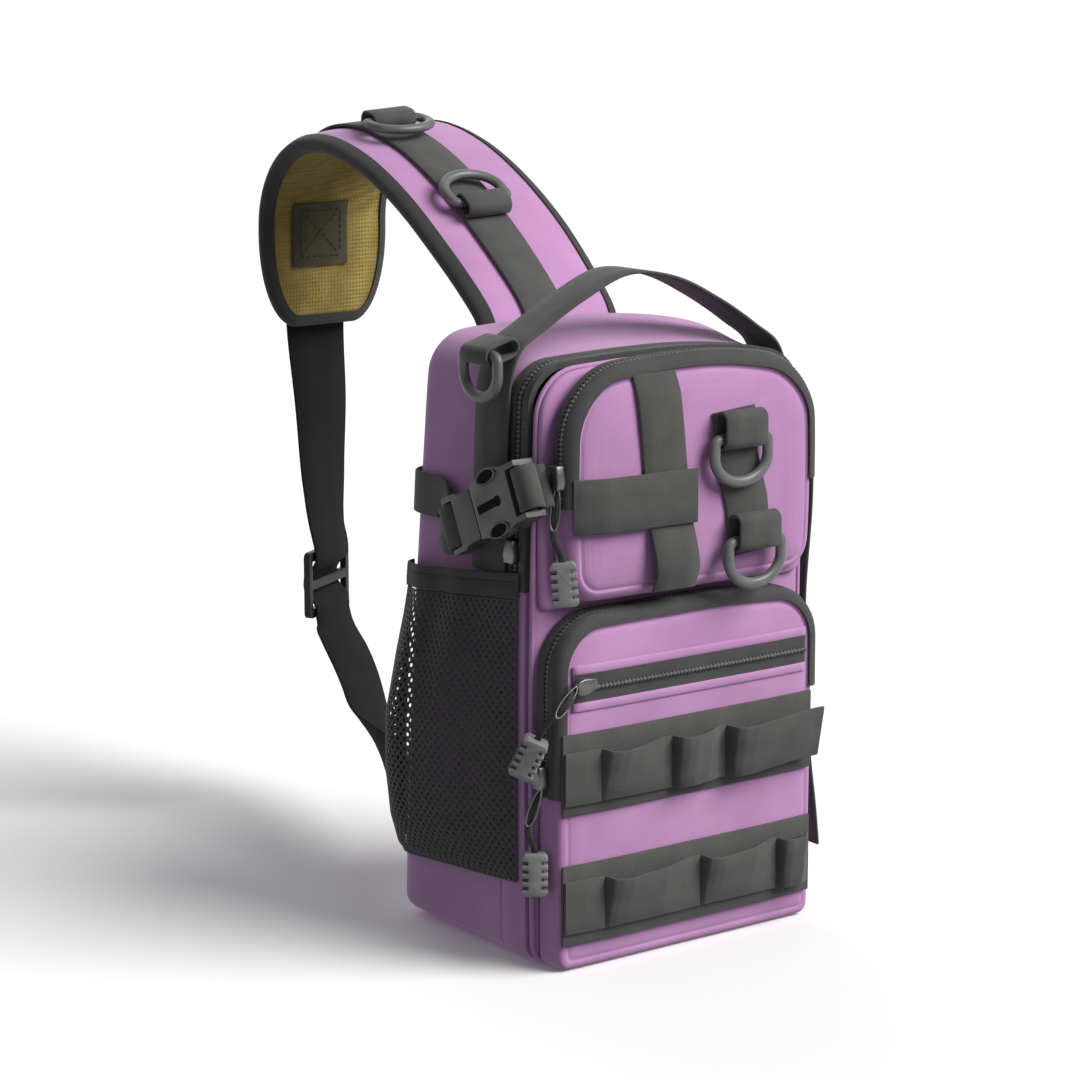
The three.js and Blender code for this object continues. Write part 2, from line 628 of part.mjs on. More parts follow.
// Mesh pocket: a slack wall on the left side, open at the top, with an elastic hem.
function meshWall(rows, wall) {
  const face = (inwards) => rows.map(({ z, bulge, fold }) =>
    Array.from({ length: MESH_STEPS + 1 }, (_, i) => {
      const share = i / MESH_STEPS;
      const y = THREE.MathUtils.lerp(MESH.front, MESH.back, share);
      const swell = Math.sin(Math.PI * share ** 2) ** 0.5;
      const ripple = fold * Math.sin(2 * Math.PI * MESH.folds * share) * swell;
      const stand = GAP + wall + bulge * swell + ripple - inwards;
      return point(-sideReach(y, z) - stand, y, z + MESH.rise * (1 - share));
    }));
  return leaned(wallBetween(face(0), face(wall)));
}
const hemRow = MESH_ROWS.at(-1);
const hemRows = [
  { ...hemRow, z: hemRow.z + GAP },
  { ...hemRow, z: hemRow.z + MESH.hemHeight },
];
addPiece("mesh_pocket", meshWall(MESH_ROWS, MESH.wall), NET);
addPiece("mesh_hem", meshWall(hemRows, MESH.hemWall), BINDING);

// Side release buckle. Its own axes: along the strap to the front, across the strap, and outwards.
const tilt = THREE.MathUtils.degToRad(BUCKLE.tilt);
const buckleAlong = point(0, -Math.cos(tilt), Math.sin(tilt));
const outwardLeft = point(-1, 0, 0);
const buckleAcross = outwardLeft.clone().cross(buckleAlong);
const bucklePlace = point(BUCKLE.x, BUCKLE.y, BUCKLE.z);
function slab(corners, half) {
  const shape = new THREE.Shape(corners.map(([a, w]) => new THREE.Vector2(a, w)));
  return new THREE.ExtrudeGeometry(shape, { depth: 2 * half, bevelEnabled: false }).translate(0, 0, -half);
}
const mirrored = (corners) => [...corners, ...corners.map(([a, w]) => [a, -w]).reverse()];
const bite = (a0, a1, w, o0, o1) => block(point(a0, -w, o0), point(a1, w, o1));
const { bar, barHalf, half, plugHalf, slot } = BUCKLE_BODY;
const webRoom = WEB.slim / 2 + 0.8;
const barBites = (sense) => {
  const ends = [sense * (bar - barHalf), sense * (bar + 6)].sort((a, b) => a - b);
  const gapEnds = [sense * slot, sense * (bar - barHalf)].sort((a, b) => a - b);
  return [
    bite(gapEnds[0], gapEnds[1], webRoom, -10, 10),
    bite(ends[0], ends[1], webRoom, barHalf, 10),
    bite(ends[0], ends[1], webRoom, -10, -barHalf),
  ];
};
const socketOutline = mirrored([[-6, 12.4], [2, 14.2], [18, 14.2], [22, 13.4], [bar + barHalf, 13.4]]);
const windowShape = new THREE.Shape().absellipse(9, 0, 7.6, 3.4, 0, 2 * Math.PI);
const windowOptions = { depth: 50, bevelEnabled: false, curveSegments: 8 };
const windowBar = new THREE.ExtrudeGeometry(windowShape, windowOptions).translate(0, 0, -25);
const windowTool = placed(windowBar, point(0, 0, 0), RIGHT, UP);
const socket = cut(slab(socketOutline, half), bite(-8, 18, 10.2, -3.2, 3.2), windowTool,
  bite(-3, 12, 2, 2, 8), ...barBites(1));
const plugBody = slab(mirrored([[-bar - barHalf, 13.4], [-21, 13.4], [-18, 11.8], [-8, 11.8]]), plugHalf);
const prong = (side) => slab([[-9, 6.6], [13, 6.6], [13, 8.8], [11.5, 11.8], [6, 12], [4, 9.6], [-9, 9.6]]
  .map(([a, w]) => [a, w * side]), 2.4);
const guide = bite(-9, 15, 2.6, -2.2, 2.2);
const plug = cut(fuse(plugBody, prong(1), prong(-1), guide), ...barBites(-1));
addPiece("buckle_socket", placed(socket, bucklePlace, buckleAlong, buckleAcross), PLASTIC);
addPiece("buckle_plug", placed(plug, bucklePlace, buckleAlong, buckleAcross), PLASTIC);

// The way of a strap from the back panel round the corner of the main shell, clear of it by a layer.
const WRAP_STAND = 0.7 + WEB.thick / 2;
const WRAP_END = 98;
function cornerWrap(side, z, from) {
  const corner = MAIN_SECTIONS.slice(1).map(({ y }) => new THREE.Vector2(sideReach(y, z), y)).reverse();
  const [start, end] = [new THREE.Vector2(from, corner[0].y), new THREE.Vector2(corner.at(-1).x, WRAP_END)];
  const ends = [start, ...corner, end];
  return ends.slice(0, -1).map((here, i) => {
    const along = ends[i + 1].clone().sub(ends[Math.max(i - 1, 0)]).normalize();
    const place = here.clone().addScaledVector(new THREE.Vector2(-along.y, along.x), WRAP_STAND);
    return leanedPoint(side * place.x, place.y, z);
  });
}

// Webbing of the side strap: each end folds round a bar of the buckle.
const backUp = point(0, -BACK_SLOPE, 1).normalize();
const onBuckle = (a) => bucklePlace.clone().addScaledVector(buckleAlong, a);
const innerLayer = LOOP.outer - WEB.thick / 2 - 0.2;
const loopBack = (sense, a) => onBuckle(sense * a).add(point(innerLayer, 0, 0));
const rearRun = [...cornerWrap(-1, SIDE_STRAP_Z, 40), loopBack(-1, bar + LOOP.length + 7),
  loopBack(-1, bar + LOOP.length - 1), loopBack(-1, bar + 4)].map((place) => ({ place, across: backUp }));
const rearLoop = placed(foldedLoop(WEB.slim), onBuckle(-bar), buckleAlong, outwardLeft);
addPiece("side_strap_rear", fuse(strip(rearRun, WEB.slim, WEB.thick), rearLoop), WEBBING);
const frontTurn = loopBack(1, bar + LOOP.length + 2);
const frontSeat = frontTurn.clone().setX(-OUTLINES.front.half - 3);
const frontRun = [loopBack(1, bar + 3), loopBack(1, bar + LOOP.length - 2), frontTurn, frontSeat]
  .map((place) => ({ place, across: buckleAcross }));
const frontLoop = placed(foldedLoop(WEB.slim), onBuckle(bar), buckleAlong.clone().negate(), outwardLeft);
addPiece("side_strap_front", fuse(strip(frontRun, WEB.slim, WEB.thick), frontLoop), WEBBING);

// Plain strap on the right side, passing over the handle's webbing, and its hanging tail.
const rightRun = [
  ...cornerWrap(1, SIDE_STRAP_Z, 40),
  ...[{ y: 76, out: 1.5 }, { y: 68, out: 4.6 }, { y: 38, out: 4.6 }, { y: 30, out: 1.8 }, { y: 24, out: 1.8 }]
    .map(({ y, out }) => leanedPoint(sideReach(y, SIDE_STRAP_Z) + out, y, SIDE_STRAP_Z)),
].map((place) => ({ place, across: backUp }));
addPiece("right_strap", strip(rightRun, WEB.slim, WEB.thick), WEBBING);
const tailRun = RIGHT_TAIL.map(({ x, z }) => ({
  place: leanedPoint(x, RIGHT_TAIL_Y, z),
  across: BACKWARD,
}));
addPiece("right_tail", strip(tailRun, WEB.slim, WEB.thick), WEBBING);

// Shoulder pad: stations along its bends, with the direction of the run and of its outer face.
const padStations = [];
{
  const lean = THREE.MathUtils.radToDeg(Math.atan(BACK_SLOPE));
  let heading = 90 + lean;
  let length = 0;
  const place = leanedPoint(PAD.x, BASE_DEPTH, PAD.startZ);
  place.y += GAP + PAD.thick / 2 + 0.2;
  const note = () => {
    const angle = THREE.MathUtils.degToRad(heading);
    const along = point(0, Math.cos(angle), Math.sin(angle));
    const { slope, from, to } = PAD_ROLL;
    const roll = slope * THREE.MathUtils.smoothstep(length, from, to);
    const out = point(-roll, -along.z, along.y).normalize();
    padStations.push({ place: place.clone(), along, out, across: along.clone().cross(out), length });
  };
  note();
  PAD_BENDS.forEach(({ length: run, turn, steps }) => {
    for (let i = 0; i < steps; i++) {
      heading += turn / steps / 2;
      const angle = THREE.MathUtils.degToRad(heading);
      place.add(point(0, Math.cos(angle), Math.sin(angle)).multiplyScalar(run / steps));
      heading += turn / steps / 2;
      length += run / steps;
      note();
    }
  });
}
const padLength = padStations.at(-1).length;
function padHalf(length) {
  const intoTip = Math.max(0, length - (padLength - PAD_TIP.length)) / PAD_TIP.length;
  const spread = (PAD.width - PAD_TIP.width) / 2;
  return PAD_TIP.width / 2 + spread * Math.sqrt(Math.max(0, 1 - intoTip ** 2));
}
function padAt(length) {
  const i = padStations.findIndex((station) => station.length >= length);
  const [a, b] = [padStations[Math.max(i - 1, 0)], padStations[i]];
  const share = a === b ? 0 : (length - a.length) / (b.length - a.length);
  const out = a.out.clone().lerp(b.out, share).normalize();
  const along = a.along.clone().lerp(b.along, share).normalize();
  return { place: a.place.clone().lerp(b.place, share), out, along, across: along.clone().cross(out) };
}
// A layer of the pad between two heights over its middle surface, with its upper edges eased.
function padLayer(low, high, edge = 0) {
  const rings = padStations.map(({ place, out, across, length }) => {
    const reach = padHalf(length);
    const corner = (x, height) =>
      place.clone().addScaledVector(out, height).addScaledVector(across, x * reach);
    const shoulders = edge ? [corner(0.86, high), corner(-0.86, high)] : [];
    return [corner(-1, low), corner(1, low), corner(1, high - edge), ...shoulders, corner(-1, high - edge)];
  });
  return skin(rings);
}
const padFace = PAD.thick / 2;
const liningLow = -padFace - GAP - PAD.lining;
addPiece("shoulder_pad", padLayer(-padFace, padFace, 3), PURPLE);
addPiece("pad_lining", padLayer(liningLow, -padFace - GAP), LINING);

// Binding round the pad's edge: down one side, across the tip and back up the other side.
const BINDING_RANGE = { low: liningLow - 0.4, high: padFace - 1.4 };
function bindingRing({ place, along, out, across, length }, i, side) {
  const corner = (grow, height) => place.clone()
    .addScaledVector(along, i === padStations.length - 1 ? grow : 0)
    .addScaledVector(across, side * (padHalf(length) + grow))
    .addScaledVector(out, height);
  const { low, high } = BINDING_RANGE;
  const outer = GAP + PAD.binding;
  return [corner(outer, low), corner(outer, high), corner(GAP, high), corner(GAP, low)];
}
const bindingLeft = padStations.map((station, i) => bindingRing(station, i, -1));
const bindingRight = padStations.map((station, i) => bindingRing(station, i, 1));
addPiece("pad_binding", skin([...bindingLeft, ...bindingRight.reverse()]), BINDING);

// Webbing down the middle of the pad, folded round the bars of its two rings.
const onPad = (length, height, aside = 0) => {
  const { place, out, across } = padAt(length);
  return place.clone().addScaledVector(out, height).addScaledVector(across, aside);
};
const padWebHeight = padFace + GAP + WEB.thick / 2;
const padWebLengths = [PAD_WEB.from, ...padStations.map((station) => station.length), PAD_WEB.to]
  .filter((length) => length >= PAD_WEB.from && length <= PAD_WEB.to);
const padWebRun = padWebLengths.map((length) => ({
  place: onPad(length, padWebHeight, PAD_WEB.aside),
  across: padAt(length).across,
}));
const padRingFrame = ({ at, sense }) => {
  const { out, along } = padAt(at);
  const place = onPad(at, padWebHeight + WEB.thick / 2 + LOOP_SEAT, PAD_WEB.aside);
  return { place, out, along: along.multiplyScalar(sense) };
};
const padLoops = PAD_RINGS.map((ring) => {
  const { place, along, out } = padRingFrame(ring);
  return placed(foldedLoop(WEB.narrow), place, along, out);
});
addPiece("pad_web", fuse(strip(padWebRun, WEB.narrow, WEB.thick), ...padLoops), WEBBING);
for (const ring of PAD_RINGS) {
  const { place, along, out } = padRingFrame(ring);
  addPiece(ring.name, placed(dRing(), place, along, out), RING_PLASTIC);
}
const patchRun = [-0.5, 0, 0.5].map((share) => {
  const length = PATCH.middle + share * PATCH.size;
  const place = onPad(length, liningLow - GAP - PATCH.thick / 2, PATCH.aside);
  return { place, across: padAt(length).across };
});
addPiece("pad_patch", strip(patchRun, PATCH.size, PATCH.thick), WEBBING);

// Shoulder webbing: from the outer face of the pad's tip down through the slider to the tab on the bag.
const turn = THREE.MathUtils.degToRad(SLIDER.turn);
const sliderAcross = point(Math.cos(turn), Math.sin(turn), 0);
const sliderOut = point(-Math.sin(turn), Math.cos(turn), 0);
const sliderPlace = point(PAD.x, SLIDER.y, SLIDER.z);
const tabRun = sliderPlace.clone().sub(point(STRAP_TAB.x, STRAP_TAB.y, 0)).setZ(0).normalize();
const tabFace = point(-tabRun.y, tabRun.x, 0);
const strapHeight = padFace + GAP + 0.2 + WEB.thick / 2;
const tipRun = [46, 20, 0].map((back) => ({
  place: onPad(padLength - back, strapHeight),
  across: padAt(padLength - back).across,
}));
const hangRun = [
  { place: point(PAD.x, 318.6, 215), across: RIGHT.clone().lerp(sliderAcross, 0.4) },
  { place: point(PAD.x, 317, 175), across: RIGHT.clone().lerp(sliderAcross, 0.7) },
];
const weaveRun = SLIDER_WEAVE.map(({ along, out }) => ({
  place: sliderPlace.clone().addScaledVector(DOWN, along).addScaledVector(sliderOut, out),
  across: sliderAcross,
}));
const tabFoot = (z) => point(STRAP_TAB.x, STRAP_TAB.y, z);
const onTab = (run, z, off) => tabFoot(z).addScaledVector(tabRun, run).addScaledVector(tabFace, off);
const sewnOff = STRAP_TAB.thick / 2 + GAP + WEB.thick / 2;
const sewnEnd = onTab(6, STRAP_TAB.sewn, sewnOff);
const sewnStart = onTab(STRAP_TAB.reach + 8, STRAP_TAB.sewn + STRAP_TAB.tilt, sewnOff);
const weaveEnd = weaveRun.at(-1).place;
const lowerCurve = new THREE.CubicBezierCurve3(
  weaveEnd,
  weaveEnd.clone().add(TWIST.leave),
  sewnStart.clone().addScaledVector(tabRun, TWIST.arrive),
  sewnStart,
);
const twistRun = Array.from({ length: SLING_STEPS }, (_, i) => {
  const share = (i + 1) / SLING_STEPS;
  const turned = THREE.MathUtils.smoothstep(share, TWIST.from, 1);
  return { place: lowerCurve.getPoint(share), across: sliderAcross.clone().lerp(UP, turned) };
});
const slingRun = [...tipRun, ...hangRun, ...weaveRun, ...twistRun, { place: sewnEnd, across: UP }];
addPiece("sling_web", strip(slingRun, WEB.wide, WEB.thick), SLING);
function sliderFrame() {
  const rounded = (path, width, length, radius, y) => {
    const [x, top, low] = [width / 2 - radius, y + length / 2 - radius, y - length / 2 + radius];
    path.absarc(x, top, radius, 0, Math.PI / 2);
    path.absarc(-x, top, radius, Math.PI / 2, Math.PI);
    path.absarc(-x, low, radius, Math.PI, 1.5 * Math.PI);
    path.absarc(x, low, radius, 1.5 * Math.PI, 2 * Math.PI);
    path.closePath();
    return path;
  };
  const slotLength = (SLIDER.length - 3 * SLIDER.bar) / 2;
  const shape = rounded(new THREE.Shape(), SLIDER.width, SLIDER.length, SLIDER.radius, 0);
  for (const sense of [1, -1]) {
    const middle = (sense * (SLIDER.bar + slotLength)) / 2;
    shape.holes.push(rounded(new THREE.Path(), WEB.wide + 1.6, slotLength, 0.8, middle));
  }
  const options = { depth: SLIDER.thick, bevelEnabled: false, curveSegments: 2 };
  return new THREE.ExtrudeGeometry(shape, options).translate(0, 0, -SLIDER.thick / 2);
}
addPiece("strap_slider", placed(sliderFrame(), sliderPlace, sliderAcross, UP), PLASTIC);
const tabLean = BACK_SLOPE * (STRAP_TAB.high - STRAP_TAB.low);
const tabShape = new THREE.Shape([
  new THREE.Vector2(0, STRAP_TAB.low),
  new THREE.Vector2(STRAP_TAB.reach + 4, STRAP_TAB.nose),
  new THREE.Vector2(STRAP_TAB.reach - 8, STRAP_TAB.high),
  new THREE.Vector2(-tabLean, STRAP_TAB.high),
]);
const tabSlab = new THREE.ExtrudeGeometry(tabShape, { depth: STRAP_TAB.thick, bevelEnabled: false });
tabSlab.translate(0, 0, -STRAP_TAB.thick / 2);
addPiece("strap_tab", placed(tabSlab, tabFoot(0), tabRun, UP), PURPLE);

// Zip pulls.
function sliderBody() {
  const { length, wide, narrow, thick } = SLIDER_BODY;
  const corners = mirrored([[-length / 2, narrow / 2], [length / 6, wide / 2], [length / 2, wide / 2.6]]);
  return slab(corners, thick / 2);
}
function grip() {
  const { width, length, thick, notches, notchDeep, notchHigh, pitch } = GRIP;
  const side = [[0, width / 2 - 1.5], [1.5, width / 2]];
  for (let i = 0; i < notches; i++) {
    const at = 3.4 + i * pitch;
    side.push([at, width / 2], [at, width / 2 - notchDeep], [at + notchHigh, width / 2 - notchDeep],
      [at + notchHigh, width / 2]);
  }
  side.push([length - 1.5, width / 2], [length, width / 2 - 1.5]);
  return slab(mirrored(side), thick / 2);
}
function pullCord(points) {
  const round = new THREE.Shape().absarc(0, 0, PULL_CORD_RADIUS, 0, 2 * Math.PI);
  const path = new THREE.CatmullRomCurve3(points);
  const options = { steps: 8, bevelEnabled: false, curveSegments: 4, extrudePath: path };
  return new THREE.ExtrudeGeometry(round, options);
}
const toViewer = point(-0.6, -0.8, 0);
const PULLS = [
  {
    name: "upper",
    slider: { place: point(-78.2, 0.5, 227), along: DOWN, out: outwardLeft },
    cord: [[-80.5, -1, 211], [-82, -2.5, 200], [-78.5, -4, 190]],
    gripAlong: point(0.02, -0.12, -1),
  },
  {
    name: "slash",
    slider: { place: point(-66.5, -6, 131.5), along: point(-1, 0, -0.12), out: FORWARD },
    cord: [[-80, -9.5, 125], [-86, -4, 117], [-88.5, 0.6, 109]],
    gripAlong: point(-0.2, 0.42, -0.88),
  },
  {
    name: "lower",
    slider: { place: point(-81.8, 8.5, 88), along: DOWN, out: outwardLeft },
    cord: [[-84.5, 10, 73], [-87, 10.5, 63], [-84, 9, 53.5]],
    gripAlong: point(0, 0, -1),
  },
];
for (const { name, slider, cord, gripAlong } of PULLS) {
  const sliderRun = slider.along.clone().normalize();
  const across = slider.out.clone().cross(sliderRun).normalize();
  addPiece(`${name}_zip_slider`, placed(sliderBody(), slider.place, sliderRun, across), METAL);
  const start = slider.place.clone().addScaledVector(sliderRun, SLIDER_BODY.length / 2 + PULL_PLAY);
  const route = [start, ...cord.map((place) => point(...place))];
  addPiece(`${name}_pull_cord`, pullCord(route), SLING);
  const along = gripAlong.clone().normalize();
  const gripSide = toViewer.clone().cross(along).normalize();
  const top = route.at(-1).clone().addScaledVector(along, 2 * GAP);
  addPiece(`${name}_pull_grip`, placed(grip(), top, along, gripSide), RUBBER);
}
const MAIN_SLIDER = { stand: 1.5, y: 31.5, z: 190 };
const zipSide = -OUTLINES.main.half - OUTLINES.main.puff;
const mainSlider = leanedPoint(zipSide - MAIN_SLIDER.stand, MAIN_SLIDER.y, MAIN_SLIDER.z);
addPiece("main_zip_slider", placed(sliderBody(), mainSlider, DOWN, outwardLeft.clone().cross(DOWN)), METAL);

// The origin is where the crest of the pad sits on the shoulder.
const padPlaces = padStations.map(({ place }) => place);
const crest = padPlaces.reduce((high, place) => (place.z > high.z ? place : high));
bag.position.set(0, -crest.y, -(crest.z + liningLow));
const part = new THREE.Group();
part.add(bag);

export default part;
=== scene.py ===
import json
from math import asin, atan, cos, degrees, pi, radians, sin, sqrt
import bmesh
import bpy
from mathutils import Matrix, Vector, noise


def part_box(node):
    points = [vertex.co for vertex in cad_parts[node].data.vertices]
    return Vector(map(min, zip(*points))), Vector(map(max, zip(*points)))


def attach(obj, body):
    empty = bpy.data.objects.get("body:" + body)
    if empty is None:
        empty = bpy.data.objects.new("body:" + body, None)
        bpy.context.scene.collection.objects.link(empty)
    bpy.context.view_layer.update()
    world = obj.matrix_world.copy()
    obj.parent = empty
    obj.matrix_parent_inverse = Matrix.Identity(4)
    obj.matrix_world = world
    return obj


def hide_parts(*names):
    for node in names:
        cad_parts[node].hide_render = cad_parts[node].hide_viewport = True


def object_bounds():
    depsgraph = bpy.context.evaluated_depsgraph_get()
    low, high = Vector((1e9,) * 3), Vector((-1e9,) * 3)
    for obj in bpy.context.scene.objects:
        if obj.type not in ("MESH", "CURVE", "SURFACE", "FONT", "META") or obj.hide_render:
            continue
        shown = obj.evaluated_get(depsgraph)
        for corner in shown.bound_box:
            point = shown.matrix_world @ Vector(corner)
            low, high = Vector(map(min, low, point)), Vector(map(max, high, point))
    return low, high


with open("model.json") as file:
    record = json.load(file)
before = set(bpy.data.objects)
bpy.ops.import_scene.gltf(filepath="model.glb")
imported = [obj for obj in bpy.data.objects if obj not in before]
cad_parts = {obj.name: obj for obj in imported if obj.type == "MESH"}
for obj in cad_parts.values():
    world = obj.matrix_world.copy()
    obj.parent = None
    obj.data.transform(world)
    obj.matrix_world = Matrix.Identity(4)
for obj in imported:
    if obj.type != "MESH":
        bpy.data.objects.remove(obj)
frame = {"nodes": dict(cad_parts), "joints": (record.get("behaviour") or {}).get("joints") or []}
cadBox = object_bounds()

scene = bpy.context.scene
mm = 0.001

# the bag's own layout in millimetres: x across the front, y towards the wearer, z up from the base
bagLayout = {"height": 284, "baseDepth": 129, "topDepth": 104, "lowRadius": 9, "foot": 4, "gap": 0.3}
gap = bagLayout["gap"]
backSlope = (bagLayout["baseDepth"] - bagLayout["topDepth"]) / bagLayout["height"]
shellLow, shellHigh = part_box("main_shell")
layoutY = shellHigh.y - (bagLayout["baseDepth"] - bagLayout["lowRadius"] * backSlope) * mm
layoutZ = shellLow.z + bagLayout["foot"] * mm
up = Vector((0, 0, 1))
down = Vector((0, 0, -1))
right = Vector((1, 0, 0))
outLeft = Vector((-1, 0, 0))
forward = Vector((0, -1, 0))
backward = Vector((0, 1, 0))


def spot(x, y, z):
    return Vector((x * mm, layoutY + y * mm, layoutZ + z * mm))


def place(x, y, z):  # a point of the bag, which grows shallower towards the top
    return spot(x, y * (1 - backSlope * z / bagLayout["baseDepth"]), z)


def mix(a, b, share):
    return a + (b - a) * share


def ease(value, low, high):
    share = min(max((value - low) / (high - low), 0), 1)
    return share * share * (3 - 2 * share)


def eased(values):  # the inner values drawn towards their neighbours
    inner = [(a + 2 * b + c) / 4 for a, b, c in zip(values, values[1:], values[2:])]
    return values[:1] + inner + values[-1:]


def rowAt(rows, at):  # the row between two others where the first column reaches a value
    i = next((k for k in range(1, len(rows)) if at <= rows[k][0]), len(rows) - 1)
    share = (at - rows[i - 1][0]) / (rows[i][0] - rows[i - 1][0])
    return [mix(a, b, share) for a, b in zip(rows[i - 1], rows[i])]


# camera, light and floor
studio = {
    "camera": (-0.9099, -1.35205, 0.10857), "look": (0.5908, 0.7840, -0.1908), "lens": 104.5, "sensor": 36,
    "farthest": 500, "sun": (0.43, -0.62, 0.65), "sunPower": 3.75, "sunSpread": 40,
    "fill": (0.3, 0.93, 0.2), "fillPower": 1.3, "fillSpread": 70,
    "sky": 0.24, "skyTint": (0.93, 0.96, 1.06, 1), "floorReach": 160, "floorDrop": 0.0002,
}
camera = bpy.data.objects.new("camera", bpy.data.cameras.new("camera"))
camera.location = studio["camera"]
camera.rotation_euler = Vector(studio["look"]).to_track_quat("-Z", "Y").to_euler()
camera.data.lens = studio["lens"]
camera.data.sensor_width = studio["sensor"]
camera.data.clip_end = studio["farthest"]
scene.collection.objects.link(camera)
scene.camera = camera
scene.view_settings.view_transform = "Standard"

for name in ("sun", "fill"):  # the fill reaches only the wearer's side
    lamp = bpy.data.objects.new(name, bpy.data.lights.new(name, "SUN"))
    lamp.rotation_euler = Vector(studio[name]).to_track_quat("Z", "Y").to_euler()
    lamp.data.energy = studio[name + "Power"]
    lamp.data.angle = radians(studio[name + "Spread"])
    scene.collection.objects.link(lamp)
world = bpy.data.worlds.new("studio")
world.use_nodes = True
world.node_tree.nodes["Background"].inputs["Color"].default_value = studio["skyTint"]
world.node_tree.nodes["Background"].inputs["Strength"].default_value = studio["sky"]
scene.world = world
print("camera and light set")


def tone(red, green, blue):
    parts = [c / 255 for c in (red, green, blue)]
    return [((c + 0.055) / 1.055) ** 2.4 if c > 0.04 else c / 12.92 for c in parts] + [1]


# one finish: two tones spread by noise, thread waves and grain in the bump, painted shade in the hollows
# between the thread waves, and the shader's own numbers
def makeFinish(name, dark, light, cloud, rough, bump, rest):
    material = bpy.data.materials.new(name)
    material.use_nodes = True
    nodes = material.node_tree.nodes
    links = material.node_tree.links
    shader = nodes["Principled BSDF"]
    for socket, value in rest.get("sockets", {}).items():
        shader.inputs[socket].default_value = value

    def add(kind, feeds, values):  # a node, with the outputs that feed it and its own values
        node = nodes.new("ShaderNode" + kind)
        for socket, value in values.items():
            node.inputs[socket].default_value = value
        for socket, output in feeds.items():
            links.new(output, node.inputs[socket])
        return node

    def total(first, second):
        return add("Math", {0: first, 1: second}, {}).outputs["Value"]

    coords = add("TexCoord", {}, {}).outputs[rest.get("coords", "Object")]
    spread = add("TexNoise", {"Vector": coords}, {"Scale": cloud, "Detail": 5}).outputs["Fac"]
    ramp = add("ValToRGB", {"Fac": spread}, {})
    for stop, position, shade in zip(ramp.color_ramp.elements, (0.32, 0.68), (dark, light)):
        stop.position = position
        stop.color = tone(*shade)
    gloss = add("MapRange", {"Value": spread}, {"To Min": rough[0], "To Max": rough[1]})
    links.new(gloss.outputs["Result"], shader.inputs["Roughness"])
    grain = {"Scale": rest.get("grain", 900), "Detail": 3}
    height = add("TexNoise", {"Vector": coords}, grain).outputs["Fac"]
    colour = ramp.outputs["Color"]
    threads = None
    for axis, scale in rest.get("waves", ()):
        waver = {"Scale": scale, "Distortion": rest.get("waver", 0.4), "Detail Scale": 40}
        wave = add("TexWave", {"Vector": coords}, waver)
        wave.bands_direction = axis
        thread = wave.outputs["Fac"]
        threads = thread if threads is None else total(threads, thread)
    if threads is not None:
        height = total(threads, height)
        weaveShadeRange = {"From Max": len(rest["waves"]), "To Min": rest.get("hollow", 0.86), "To Max": 1.04}
        depth = add("MapRange", {"Value": threads}, weaveShadeRange)
        shade = add("Mix", {}, {"Factor": 1})  # painted shade: the hollows between threads are darkened
        shade.data_type = "RGBA"
        shade.blend_type = "MULTIPLY"
        links.new(colour, shade.inputs[6])
        links.new(depth.outputs["Result"], shade.inputs[7])
        colour = shade.outputs[2]
    links.new(colour, shader.inputs["Base Color"])
    relief = {"Strength": bump, "Distance": rest.get("relief", 0.0003)}
    links.new(add("Bump", {"Height": height}, relief).outputs["Normal"], shader.inputs["Normal"])
    return material


